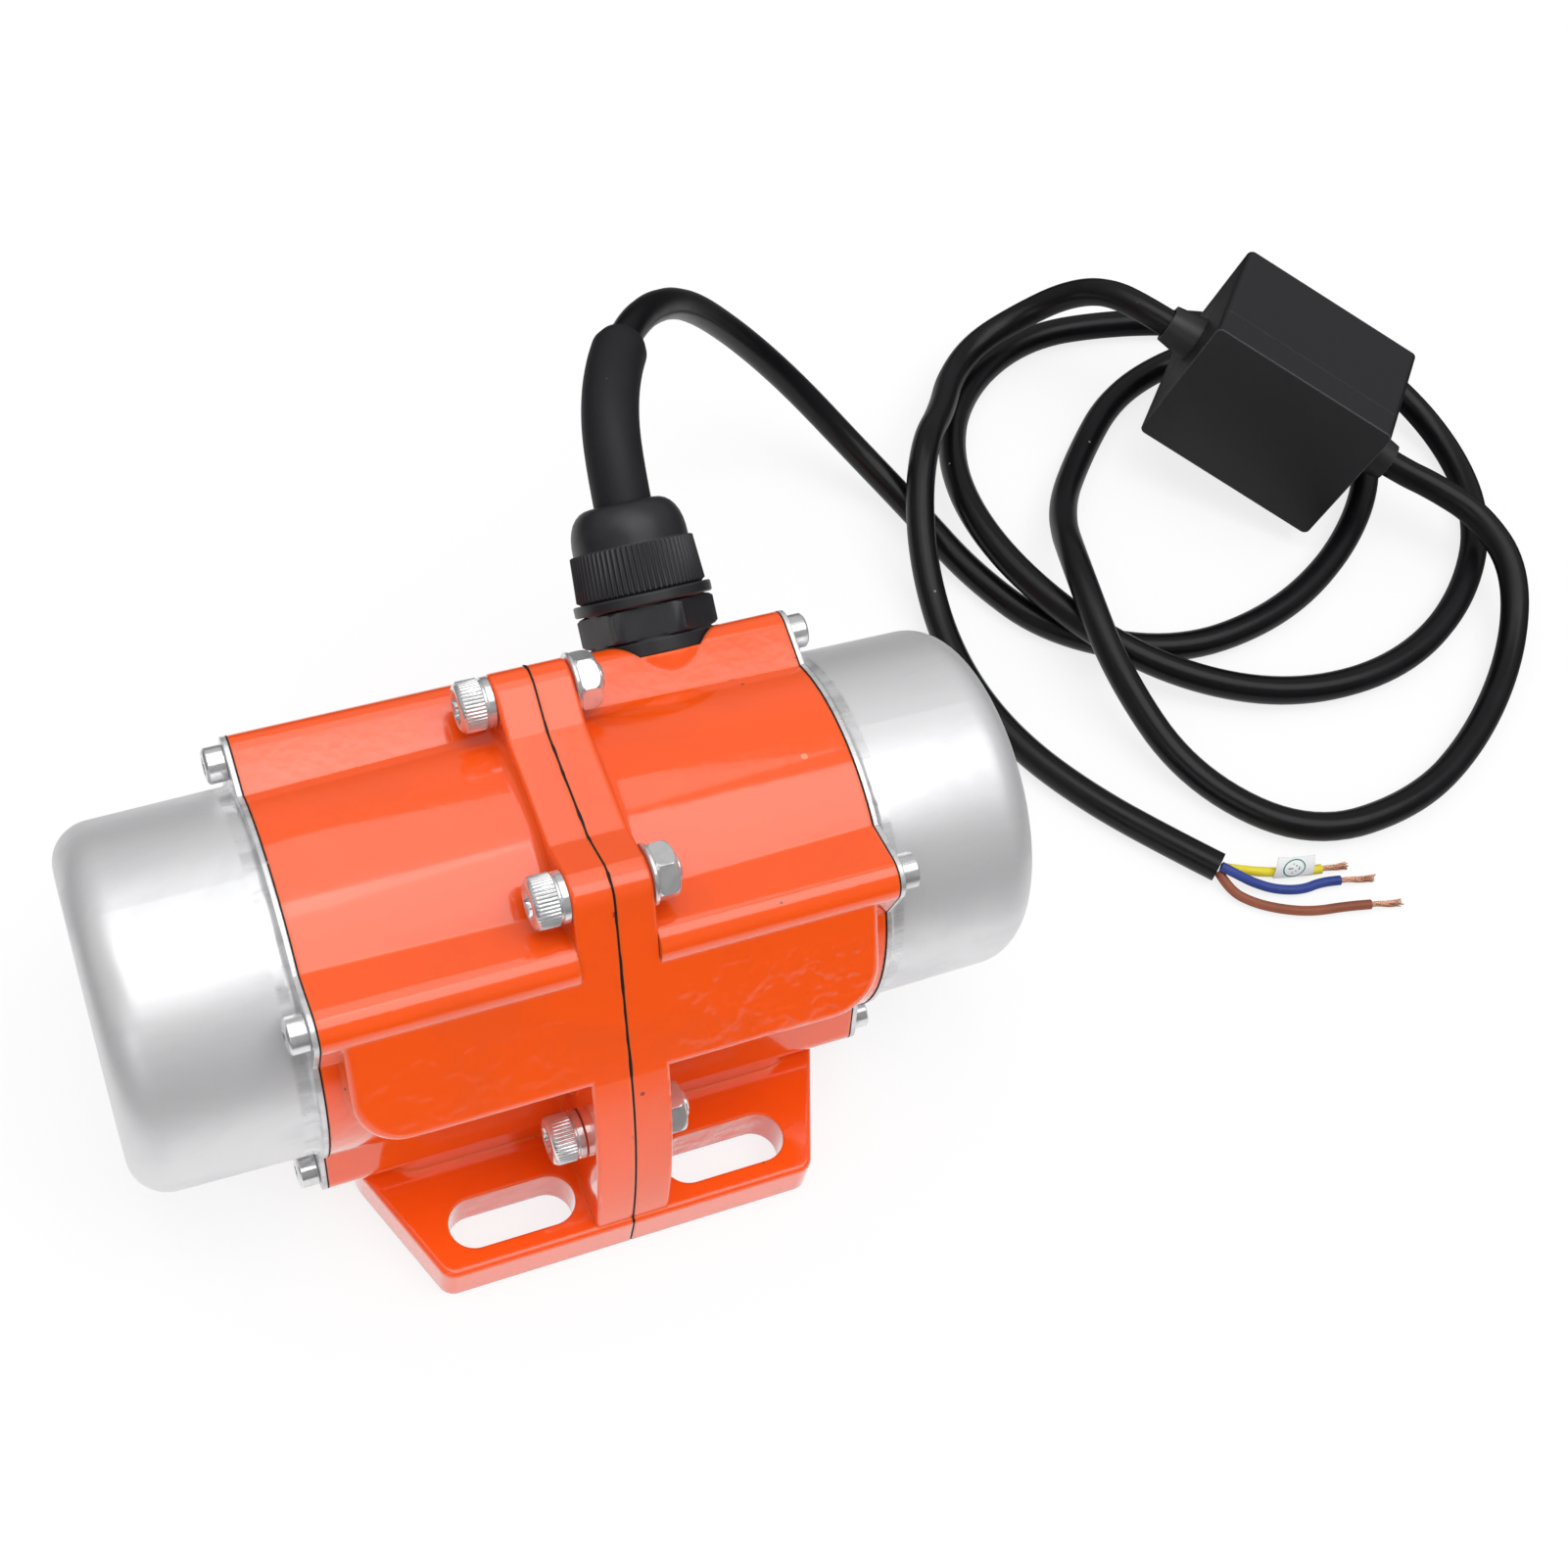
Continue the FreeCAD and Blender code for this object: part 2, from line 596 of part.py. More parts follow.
def leg():
    """Block between the lower ears and the foot, flush with the ears."""
    body = new_body("leg")
    half = S.ear_pitch * cosine(EAR_ANGLE) + S.ear_radius
    sketch = new_sketch(body, "leg_outline", "XY_Plane", -S.axis_height + S.foot_thickness / 2)
    loop(sketch, [(S.flange_half / 2, -half), (S.leg_end, -half), (S.leg_end, half),
                  (S.flange_half / 2, half)])
    height = S.axis_height - S.foot_thickness / 2 - S.ear_pitch * sine(EAR_ANGLE)
    pad(body, "leg_pad", sketch, height)

    def end_corner(edge):
        return edge_along(edge, Vector(0, 0, 1)) and near(edge.Vertexes[0].X, S.leg_end)

    round_edges(body, "leg_corners", end_corner, S.leg_end_round)
    return body


def slot_outline(sketch, x, y):
    """A slot with round ends, along the X axis."""
    half = S.slot_width / 2
    run = S.slot_length / 2 - half
    loop(sketch, [
        (x - run, y - half), (x + run, y - half, half), (x + run + half, y, half),
        (x + run, y + half), (x - run, y + half, half), (x - run - half, y, half),
    ])


def foot_half():
    """Half of the foot plate with its two long slots."""
    body = new_body("foot_half")
    face = S.seal_thickness / 2
    sketch = new_sketch(body, "foot_outline", "XY_Plane", -S.axis_height)
    loop(sketch, [(face, -S.foot_half_width), (S.foot_toe, -S.foot_half_width),
                  (S.foot_heel, -S.foot_heel_half), (S.foot_heel, S.foot_heel_half),
                  (S.foot_toe, S.foot_half_width), (face, S.foot_half_width)])
    pad(body, "foot_pad", sketch, S.foot_thickness)
    upright = Vector(0, 0, 1)

    def toe(edge):
        return edge_along(edge, upright) and near(edge.Vertexes[0].X, S.foot_toe)

    def heel(edge):
        return edge_along(edge, upright) and near(edge.Vertexes[0].X, S.foot_heel)

    round_edges(body, "foot_toes", toe, S.foot_toe_round)
    round_edges(body, "foot_heels", heel, S.foot_heel_round)
    top = S.foot_thickness - S.axis_height

    def top_edge(edge):
        spots = edge.Vertexes
        return all(near(v.Z, top) for v in spots) and not all(near(v.X, face) for v in spots)

    round_edges(body, "foot_top_edge", top_edge, S.foot_edge_round)
    slots = new_sketch(body, "slot_outlines", "XY_Plane", top)
    for side in (-1, 1):
        slot_outline(slots, S.slot_pitch_x / 2, S.slot_pitch_y / 2 * side)
    pocket(body, "slots", slots, S.foot_thickness + MARGIN)
    return body


def housing_bore():
    """Everything that is machined out of a half: seats, room, recess and screw holes."""
    lip = S.bearing_lip_radius
    seat = S.bearing_outer_radius
    hub_end = BEARING_END + S.circlip_thickness + S.hub_margin
    wall_back = S.bearing_wall + S.bearing_wall_thickness
    body = turned("housing_bore", [
        (0, 0), (S.housing_end + MARGIN, 0), (S.housing_end + MARGIN, S.recess_radius),
        (wall_back, S.recess_radius), (wall_back, S.hub_radius), (hub_end, S.hub_radius),
        (hub_end, seat), (BEARING_END + S.circlip_thickness, seat),
        (BEARING_END + S.circlip_thickness, S.circlip_groove_radius),
        (BEARING_END, S.circlip_groove_radius), (BEARING_END, seat), (BEARING_START, seat),
        (BEARING_START, lip), (S.bearing_wall, lip), (S.bearing_wall, S.winding_room_radius),
        (S.stator_half, S.winding_room_radius), (S.stator_half, S.stator_radius),
        (0, S.stator_radius),
    ])
    radius = S.cap_screw_radius + S.screw_clearance
    add_screw_holes(body, S.housing_end - S.cap_screw_grip - MARGIN,
                    S.cap_screw_grip + MARGIN * 2, radius, cut=False)
    return body


def bolt_plugs(label, start, length):
    """Four plugs that cut the flange bolt holes."""
    body = new_body(label)
    sketch = new_sketch(body, label + "_outline", "YZ_Plane", start)
    for side in (-1, 1):
        circle(sketch, S.upper_bolt_y * side, S.upper_bolt_z, S.bolt_radius + S.screw_clearance)
        circle(sketch, S.lower_bolt_y * side, S.lower_bolt_z, S.bolt_radius + S.screw_clearance)
    pad(body, label + "_plugs", sketch, length)
    return body


def along_gland(thing):
    """Stands a part on the shaft axis, its Z axis along the gland."""
    thing.Placement = Placement(Vector(), Rotation(Vector(1, 0, 0), S.gland_tilt.value - 90))
    bind(thing, "Placement.Base.x", S.gland_x)
    bind(thing, "Placement.Base.z", S.axis_height)
    bind(thing, "Placement.Rotation.Angle", size(90) - S.gland_tilt)
    thing.Placement.Rotation.Axis = Vector(-1, 0, 0)
    return thing


def gland_cylinder(label, radius, start, end):
    cylinder = doc.addObject("PartDesign::Body", label)
    cylinder.Label = label
    sketch = new_sketch(cylinder, label + "_circle", "XY_Plane", start)
    circle(sketch, 0, 0, radius)
    pad(cylinder, label + "_pad", sketch, end - start)
    return along_gland(cylinder)


def build_housing():
    half = boolean("MultiFuse", "housing_half", [barrel_core(), joint_flange(), leg(), foot_half()])
    cheek = side_cheek()
    far_cheek = doc.addObject("Part::Mirroring", "far_cheek")
    far_cheek.Source = cheek
    far_cheek.Normal = Vector(0, 1, 0)
    solid = boolean("MultiFuse", "housing_solid", [half, cheek, far_cheek])
    tools = boolean("MultiFuse", "housing_tools", [housing_bore(), bolt_plugs("bolt_holes", 0, S.flange_half + MARGIN)])
    left_solid = mirrored(solid, "left_solid")
    left_tools = mirrored(tools, "left_tools")
    keep(boolean("Cut", "housing_left", [left_solid, left_tools]))
    boss = gland_cylinder("gland_boss", S.boss_radius, S.stator_radius, S.boss_seat)
    right_solid = boolean("MultiFuse", "right_solid", [solid, boss])
    thread = gland_cylinder("gland_thread", S.gland_thread_radius + S.screw_clearance,
                            S.recess_radius, S.boss_seat + MARGIN)
    spot_face = gland_cylinder("gland_spot_face", S.boss_radius, S.boss_seat, GLAND_COLLAR)
    right_tools = boolean("MultiFuse", "right_tools", [tools, thread, spot_face])
    keep(boolean("Cut", "housing_right", [right_solid, right_tools]))


def build_seal():
    """Thin seal in the joint plane, bored and drilled like the flanges."""
    body = new_body("housing_seal")
    sketch = new_sketch(body, "seal_outline", "YZ_Plane", -S.seal_thickness / 2)
    flange_outline(sketch)
    pad(body, "seal_pad", sketch, S.seal_thickness)

    def at_corner(edge):
        return edge_along(edge, Vector(1, 0, 0)) and near(abs(edge.Vertexes[0].Y), S.crown_corner_y)

    round_edges(body, "seal_corners", at_corner, S.crown_round)
    holes = new_sketch(body, "seal_holes", "YZ_Plane", S.seal_thickness / 2)
    circle(holes, 0, 0, S.stator_radius)
    for side in (-1, 1):
        circle(holes, S.upper_bolt_y * side, S.upper_bolt_z, S.bolt_radius + S.screw_clearance)
        circle(holes, S.lower_bolt_y * side, S.lower_bolt_z, S.bolt_radius + S.screw_clearance)
    pocket(body, "seal_cut", holes, S.seal_thickness)
    keep(body)


# ---------------------------------------------------------------- end caps

def build_caps():
    """Drawn cups with an eared rim, their gaskets and four screws each."""
    gasket = new_body("cap_gasket_right")
    ring = new_sketch(gasket, "gasket_ring", "YZ_Plane", S.housing_end)
    circle(ring, 0, 0, S.rim_radius)
    circle(ring, 0, 0, S.cap_radius - S.cap_sheet)
    pad(gasket, "gasket_pad", ring, S.gasket_thickness)
    wall_middle = S.cap_radius - S.cap_sheet / 2
    add_ears(gasket, S.housing_end, S.gasket_thickness, wall_middle)
    add_screw_holes(gasket, S.housing_end, S.gasket_thickness, S.cap_screw_radius + S.screw_clearance)
    keep_pair(gasket, "cap_gasket")

    inner = S.cap_radius - S.cap_sheet
    inner_tip = S.cap_tip_radius - S.cap_sheet
    corner = S.cap_end - S.cap_corner
    inner_round = S.cap_corner - S.cap_sheet
    cap = turned("end_cap_right", [
        (CAP_FLANGE, inner), (corner, inner_tip, -inner_round),
        (S.cap_end - S.cap_sheet, inner_tip - inner_round), (S.cap_end - S.cap_sheet, 0),
        (S.cap_end, 0), (S.cap_end, S.cap_tip_radius - S.cap_corner, S.cap_corner),
        (corner, S.cap_tip_radius), (SCREW_SEAT + S.cap_rim_round, S.cap_radius, -S.cap_rim_round),
        (SCREW_SEAT, S.cap_radius + S.cap_rim_round), (SCREW_SEAT, S.rim_radius),
        (CAP_FLANGE, S.rim_radius),
    ])
    add_ears(cap, CAP_FLANGE, S.cap_sheet, wall_middle)
    add_screw_holes(cap, CAP_FLANGE, S.cap_sheet, S.cap_screw_radius + S.screw_clearance)
    keep_pair(cap, "end_cap")
    keep_pair(cap_screws(), "cap_screws")


def cap_screws():
    """Four M4 socket screws of one cap."""
    body = new_body("cap_screws_right")
    turn = Rotation(Vector(1, 0, 0), EAR_ANGLE)
    pitch = S.ear_pitch
    shank = pitch + S.cap_screw_radius
    head = pitch + S.cap_screw_head_radius
    top = SCREW_SEAT + S.cap_screw_head_height
    bevel = S.cap_screw_radius / 5
    sketch = new_sketch(body, "cap_screw_section", "XZ_Plane", 0, turn)
    loop(sketch, [(S.housing_end - S.cap_screw_grip, pitch), (top, pitch), (top, head - bevel),
                  (top - bevel, head), (SCREW_SEAT, head), (SCREW_SEAT, shank),
                  (S.housing_end - S.cap_screw_grip, shank)])
    axis = sketch.addGeometry(Part.LineSegment(Vector(0, pitch.value, 0), Vector(10, pitch.value, 0)), True)
    pin(sketch, axis, 1, 0, pitch)
    pin(sketch, axis, 2, 10, pitch)
    screw = revolve(body, "cap_screw", sketch, "Axis0")
    key = new_sketch(body, "cap_screw_key", "YZ_Plane", top)
    hexagon(key, pitch * cosine(EAR_ANGLE), pitch * sine(EAR_ANGLE), S.cap_screw_socket)
    socket = pocket(body, "cap_screw_socket_cut", key, S.cap_screw_socket_depth)
    around(body, "cap_screw_set", [screw, socket], 4)
    return body


# ---------------------------------------------------------------- flange bolts

def bolt_at(body, name, y, z, points):
    """One fastener turned about its own axis, parallel to the shaft."""
    sketch = new_sketch(body, name + "_section", "XZ_Plane", -y)
    loop(sketch, [(x, z + radius) for x, radius in points])
    axis = sketch.addGeometry(Part.LineSegment(Vector(0, z.value, 0), Vector(10, z.value, 0)), True)
    pin(sketch, axis, 1, 0, z)
    pin(sketch, axis, 2, 10, z)
    return revolve(body, name, sketch, "Axis0")


def build_bolts():
    """Four M6 socket bolts from the left and four collar nuts on the right."""
    rows = [("upper", S.upper_bolt_y, S.upper_bolt_z), ("lower", S.lower_bolt_y, S.lower_bolt_z)]
    face = -S.flange_half
    top = face - S.bolt_head_height
    end = S.flange_half + S.nut_height + S.bolt_point
    bevel = S.bolt_collar_height / 2
    head = S.bolt_head_radius
    bolts = new_body("flange_bolts")
    for row, y, z in rows:
        bolt = bolt_at(bolts, row + "_bolt", y, z, [
            (top, 0), (end, 0), (end, S.bolt_radius), (face, S.bolt_radius),
            (face, head), (top + bevel, head), (top, head - bevel)])
        key = new_sketch(bolts, row + "_key", "YZ_Plane", top)
        hexagon(key, y, z, S.bolt_socket)
        socket = pocket(bolts, row + "_socket", key, S.bolt_socket_depth, backwards=True)
        mirror_in_body(bolts, row + "_pair", [bolt, socket], "XZ_Plane")
    keep(bolts)

    nuts = new_body("flange_nuts")
    bore = S.bolt_radius + S.screw_clearance
    seat = S.flange_half
    collar = seat + S.nut_collar_height
    for row, y, z in rows:
        ring = bolt_at(nuts, row + "_collar", y, z, [
            (seat, bore), (collar, bore), (collar, S.nut_flats / 2),
            (collar - S.nut_collar_height / 2, S.nut_collar_radius), (seat, S.nut_collar_radius)])
        outline = new_sketch(nuts, row + "_hexagon", "YZ_Plane", seat + S.nut_collar_height / 2)
        hexagon(outline, y, z, S.nut_flats)
        circle(outline, y, z, bore)
        flats = pad(nuts, row + "_flats", outline, S.nut_height - S.nut_collar_height / 2)
        mirror_in_body(nuts, row + "_nut_pair", [ring, flats], "XZ_Plane")
    keep(nuts)


# ---------------------------------------------------------------- motor inside

def build_stator():
    """Laminated core with twelve winding slots, and the two winding heads."""
    body = new_body("stator_core")
    sketch = new_sketch(body, "stator_ring", "YZ_Plane", -S.stator_half)
    circle(sketch, 0, 0, S.stator_radius)
    circle(sketch, 0, 0, S.stator_bore)
    pad(body, "stator_pad", sketch, S.stator_half * 2)
    slots = new_sketch(body, "stator_slot_outline", "YZ_Plane", -S.stator_half)
    inside = S.winding_inner_radius
    half = S.slot_opening / 2
    loop(slots, [(inside, -half), (S.slot_bottom_radius, -half * 2), (S.slot_bottom_radius, half * 2),
                 (inside, half)])
    slot = pocket(body, "stator_slot", slots, S.stator_half * 2, backwards=True)
    around(body, "stator_slots", [slot], 12)
    keep(body)

    near_core = S.stator_half
    far = S.stator_half + S.winding_length
    bend = S.winding_round
    low = S.winding_inner_radius
    high = S.winding_outer_radius
    keep_pair(turned("winding_right", [
        (near_core, low), (far - bend, low, bend), (far, low + bend), (far, high - bend, bend),
        (far - bend, high), (near_core, high)]), "winding")


def build_rotor():
    """Shaft, core, short-circuit rings and bearings."""
    radius = S.shaft_radius
    core = S.shaft_core_radius
    tip = S.shaft_end - S.shaft_chamfer
    keep(turned("shaft", [
        (-S.shaft_end, 0), (S.shaft_end, 0), (S.shaft_end, radius - S.shaft_chamfer), (tip, radius),
        (BEARING_START, radius), (BEARING_START, core), (-BEARING_START, core),
        (-BEARING_START, radius), (-tip, radius), (-S.shaft_end, radius - S.shaft_chamfer)]))
    outside = S.stator_bore - S.air_gap
    keep(turned("rotor_core", [
        (-S.stator_half, core), (S.stator_half, core), (S.stator_half, outside),
        (-S.stator_half, outside)]))
    ring_end = S.stator_half + S.cage_ring_length
    keep_pair(turned("rotor_ring_right", [
        (S.stator_half, S.cage_ring_inner), (ring_end, S.cage_ring_inner), (ring_end, outside),
        (S.stator_half, outside)]), "rotor_ring")
    race = S.ring_middle_radius + S.ring_gap / 2
    keep_pair(turned("bearing_outer_right", [
        (BEARING_START, race), (BEARING_END, race), (BEARING_END, S.bearing_outer_radius),
        (BEARING_START, S.bearing_outer_radius)]), "bearing_outer")
    inner_race = S.ring_middle_radius - S.ring_gap / 2
    keep_pair(turned("bearing_inner_right", [
        (BEARING_START, radius), (BEARING_END, radius), (BEARING_END, inner_race),
        (BEARING_START, inner_race)]), "bearing_inner")
    clip_end = BEARING_END + S.circlip_thickness
    keep_pair(turned("circlip_right", [
        (BEARING_END, S.circlip_bore_radius), (clip_end, S.circlip_bore_radius),
        (clip_end, S.circlip_groove_radius), (BEARING_END, S.circlip_groove_radius)]), "circlip")
    tube = radius + S.spacer_wall
    keep_pair(turned("spacer_right", [
        (BEARING_END, radius), (S.weight_start, radius), (S.weight_start, tube),
        (BEARING_END, tube)]), "spacer")


def weight(label, start, bore):
    """Half disc with a round clamping hub and a set screw hole on top."""
    body = new_body(label)
    sketch = new_sketch(body, label + "_outline", "YZ_Plane", start)
    outside = S.weight_radius
    hub = S.weight_hub_radius
    loop(sketch, [(-outside, 0, outside), (0, -outside, outside), (outside, 0), (hub, 0, hub),
                  (0, hub, hub), (-hub, 0)])
    circle(sketch, 0, 0, bore)
    pad(body, label + "_pad", sketch, S.weight_thickness)
    drill = new_sketch(body, label + "_drill", "XY_Plane", 0)
    circle(drill, start + S.weight_thickness / 2, 0, S.set_screw_radius)
    hole = pocket(body, label + "_tapping", drill, hub + MARGIN, backwards=True)
    hole.Midplane = False
    return body


def set_screw(label, start, bore):
    """Set screw in the hub of a weight."""
    body = new_body(label)
    sketch = new_sketch(body, label + "_circle", "XY_Plane", bore)
    circle(sketch, start + S.weight_thickness / 2, 0, S.set_screw_radius)
    pad(body, label + "_pad", sketch, S.weight_hub_radius - bore - MARGIN / 2)
    return body


def build_weights():
    """A fixed and an adjustable weight at each end, held by a washer and a nut."""
    seat = S.shaft_radius
    loose = S.shaft_radius + S.weight_running_gap
    keep_pair(weight("fixed_weight_right", S.weight_start, seat), "fixed_weight")
    keep_pair(weight("adjustable_weight_right", ADJUSTABLE_START, loose), "adjustable_weight")
    keep_pair(set_screw("fixed_screw_right", S.weight_start, seat), "fixed_screw")
    keep_pair(set_screw("adjustable_screw_right", ADJUSTABLE_START, loose), "adjustable_screw")
    keep_pair(turned("washer_right", [
        (WASHER_START, seat), (SHAFT_NUT_START, seat), (SHAFT_NUT_START, S.washer_radius),
        (WASHER_START, S.washer_radius)]), "washer")
    nut = new_body("shaft_nut_right")
    sketch = new_sketch(nut, "shaft_nut_outline", "YZ_Plane", SHAFT_NUT_START)
    hexagon(sketch, 0, 0, S.shaft_nut_flats)
    circle(sketch, 0, 0, seat)
    pad(nut, "shaft_nut_pad", sketch, S.shaft_nut_height)
    keep_pair(nut, "shaft_nut")


# ---------------------------------------------------------------- gland

def gland_part(label, points):
    """A gland part turned about the gland axis; points are radius and height."""
    return along_gland(turned(label, points, "V_Axis", on_axis=False))


def build_gland():
    bore = S.gland_bore_radius
    thread_start = S.boss_seat - S.gland_thread_length
    neck_top = GLAND_SHOULDER
    body = new_body("gland_body", on_axis=False)
    outline = new_sketch(body, "gland_hexagon", "XY_Plane", GLAND_HEXAGON)
    hexagon(outline, 0, 0, S.gland_hex_flats)
    pad(body, "gland_hex_pad", outline, S.gland_hex_height)
    stem = new_sketch(body, "gland_stem", "XZ_Plane")
    loop(stem, [
        (0, thread_start), (S.gland_thread_radius, thread_start),
        (S.gland_thread_radius, S.boss_seat), (S.gland_foot_radius, S.boss_seat),
        (S.gland_foot_radius, GLAND_HEXAGON), (S.gland_neck_radius, GLAND_HEXAGON),
        (S.gland_neck_radius, neck_top), (0, neck_top)])
    revolve(body, "gland_stem_turned", stem, "V_Axis")
    hole = new_sketch(body, "gland_bore", "XY_Plane", thread_start)
    circle(hole, 0, 0, bore)
    pocket(body, "gland_bore_cut", hole, neck_top - thread_start, backwards=True)
    keep(along_gland(body))

    collar_top = GLAND_COLLAR + S.gland_ring_height
    keep(gland_part("gland_ring", [
        (S.gland_neck_radius, GLAND_COLLAR), (S.gland_ring_radius, GLAND_COLLAR),
        (S.gland_ring_radius, collar_top), (S.gland_neck_radius, collar_top)]))

    inside = S.gland_neck_radius
    mouth = S.gland_mouth_radius
    dome = S.gland_dome_radius
    dome_bend = S.gland_dome_height * 1.15
    keep(gland_part("gland_nut", [
        (inside, GLAND_NUT_START), (S.gland_nut_radius, GLAND_NUT_START),
        (S.gland_nut_top_radius, GLAND_SHOULDER), (dome, GLAND_SHOULDER),
        (dome, GLAND_SHOULDER + S.gland_wall, dome_bend), (mouth + S.gland_wall / 2, GLAND_TOP),
        (mouth, GLAND_TOP), (mouth, neck_top), (inside, neck_top)]))


# ---------------------------------------------------------------- leads

def route_wire(points):
    """Straight runs joined by the largest arcs they allow; gives wire, length and radii."""
    spots = [Vector(*point) for point in points]
    share = 0.45
    edges, radii, length = [], [], 0.0
    start = spots[0]
    for before, corner, after in zip(spots, spots[1:], spots[2:]):
        back, ahead = before - corner, after - corner
        reach = share * min(back.Length, ahead.Length)
        turn = math.pi - back.getAngle(ahead)
        radius = reach / math.tan(turn / 2)
        back.normalize()
        ahead.normalize()
        entry, leave = corner + back * reach, corner + ahead * reach
        middle_way = (back + ahead).normalize()
        centre = corner + middle_way * (radius / math.cos(turn / 2))
        arc = Part.Arc(entry, centre - middle_way * radius, leave)
        edges.append(Part.LineSegment(start, entry).toShape())
        edges.append(arc.toShape())
        radii.append(radius)
        length += (entry - start).Length + radius * turn
        start = leave
    edges.append(Part.LineSegment(start, spots[-1]).toShape())
    length += (spots[-1] - start).Length
    return Part.Wire(edges), length, radii


def tube(label, points, radius):
    """A round lead along its route, its volume compared with section times length."""
    wire, length, radii = route_wire(points)
    start, ahead = Vector(*points[0]), Vector(*points[1]) - Vector(*points[0])
    ring = Part.Wire([Part.Circle(start, ahead, radius.value).toShape()])
    shape = wire.makePipeShell([ring], True, False)
    ratio = shape.Volume / (math.pi * radius.value ** 2 * length)
    print("%s: length %.0f, tightest radius %.1f, volume ratio %.4f" % (label, length, min(radii), ratio))
    print("   radii", " ".join("%.0f" % r for r in radii))
    if abs(ratio - 1) > 0.01:
        raise RuntimeError(label + " does not fill its route")
    node = doc.addObject("Part::Feature", label)
    node.Label = label
    node.Shape = shape
    node.Placement = Placement()
    return node


def copper_end(label, points, length):
    """Bare strands that stick out of a core's insulation."""
    end = Vector(*points[-1])
    way = (end - Vector(*points[-2])).normalize()
    node = doc.addObject("Part::Cylinder", label)
    node.Label = label
    bind(node, "Radius", S.copper_radius)
    node.Height = length
    node.Placement = Placement(end, Rotation(Vector(0, 0, 1), Vector(way.x, way.y, 0)))
    keep(node)


def build_leads():
    outside = tube("sleeve_outside", MOTOR_LEAD[:SLEEVE_POINTS], S.sleeve_radius)
    inside = tube("sleeve_inside", MOTOR_LEAD[:SLEEVE_POINTS], S.sleeve_bore)
    neck = gland_cylinder("sleeve_trim", S.gland_dome_radius, S.boss_seat, GLAND_SHOULDER)
    removed = boolean("MultiFuse", "sleeve_removed", [inside, neck])
    keep(boolean("Cut", "cable_sleeve", [outside, removed]))
    keep(tube("motor_cord", MOTOR_LEAD, S.lead_radius))
    keep(tube("supply_cord", SUPPLY_LEAD, S.lead_radius))
    for name, points, bare in (("blue", BLUE_CORE, 10.0), ("brown", BROWN_CORE, 9.0), ("earth", EARTH_CORE, 8.0)):
        keep(tube("core_" + name, points, S.core_radius))
        copper_end("copper_" + name, points, bare)


# ---------------------------------------------------------------- capacitor box

def on_box(thing):
    """Moves a part drawn in the box's own axes to where the box lies."""
    thing.Placement = Placement(BOX_PLACE, BOX_TURN)
    return thing


def box_block(label, start, depth):
    body = new_body(label, on_axis=False)
    sketch = new_sketch(body, label + "_outline", "XZ_Plane", -(depth + start))
    loop(sketch, [(0, 0), (S.box_length, 0), (S.box_length, S.box_height), (0, S.box_height)])
    pad(body, label + "_pad", sketch, depth)
    return body


def build_box():
    """Deep shell, shallow lid on its near side, and the capacitor inside."""
    long_way = Vector(0, 1, 0)
    shell = box_block("box_shell", S.lid_depth, S.box_depth - S.lid_depth)
    round_edges(shell, "shell_edges", lambda edge: edge_along(edge, long_way), S.box_edge_round)
    room = new_sketch(shell, "shell_room", "XZ_Plane", -S.lid_depth)
    wall = S.box_wall
    loop(room, [(wall, wall), (S.box_length - wall, wall),
                (S.box_length - wall, S.box_height - wall), (wall, S.box_height - wall)])
    pocket(shell, "shell_room_cut", room, S.box_depth - S.lid_depth - wall)
    keep(on_box(shell))

    lid = box_block("box_lid", 0, S.lid_depth)
    round_edges(lid, "lid_edges", lambda edge: edge_along(edge, long_way), S.box_edge_round)
    keep(on_box(lid))

    can = new_body("capacitor", on_axis=False)
    sketch = new_sketch(can, "capacitor_circle", "YZ_Plane", wall)
    circle(sketch, S.box_depth - wall - S.capacitor_radius, wall + S.capacitor_radius, S.capacitor_radius)
    pad(can, "capacitor_pad", sketch, S.box_length - wall * 2)
    keep(on_box(can))

    for label, face, way in (("grommet_left", 0, -1), ("grommet_right", S.box_length, 1)):
        body = new_body(label, on_axis=False)
        sketch = new_sketch(body, label + "_section", "XY_Plane", S.box_height / 2)
        middle = S.box_depth / 2
        tip = S.grommet_length * way + face
        hole = S.lead_radius + S.grommet_gap
        near_end = (face, middle + hole)
        far_end = (tip, middle + hole)
        loop(sketch, [near_end, far_end, (tip, middle + S.grommet_tip_radius),
                      (face, middle + S.grommet_radius)])
        axis = sketch.addGeometry(
            Part.LineSegment(Vector(0, middle.value, 0), Vector(10, middle.value, 0)), True)
        pin(sketch, axis, 1, 0, middle)
        pin(sketch, axis, 2, 10, middle)
        revolve(body, label + "_turned", sketch, "Axis0")
        keep(on_box(body))


def build_tag():
    """Blank paper tag on the earth core."""
    tag = doc.addObject("Part::Box", "earth_tag")
    tag.Label = "earth_tag"
    bind(tag, "Length", S.tag_length)
    bind(tag, "Width", S.tag_thickness)
    bind(tag, "Height", S.tag_height)
    tag.Placement = Placement(TAG_PLACE, Rotation(Vector(0, 0, 1), TAG_TURN))
    keep(tag)


# ---------------------------------------------------------------- build, check, write

def check_document():
    doc.recompute()
    for item in doc.Objects:
        if "Invalid" in item.State or "Error" in item.State:
            raise RuntimeError("%s failed: %s" % (item.Label, item.State))
    for label, node in NODES.items():
        if node.Shape.isNull() or not node.Shape.isValid() or not node.Shape.Solids:
            raise RuntimeError(label + " has no sound solid")


def write_parts():
    os.makedirs("parts", exist_ok=True)
    for label, node in NODES.items():
        node.Shape.exportStep("parts/%s.step" % label)
    print("%d parts written" % len(NODES))


build_housing()
build_seal()
build_caps()
build_bolts()
build_stator()
build_rotor()
build_weights()
build_gland()
build_leads()
build_box()
build_tag()
check_document()
write_parts()
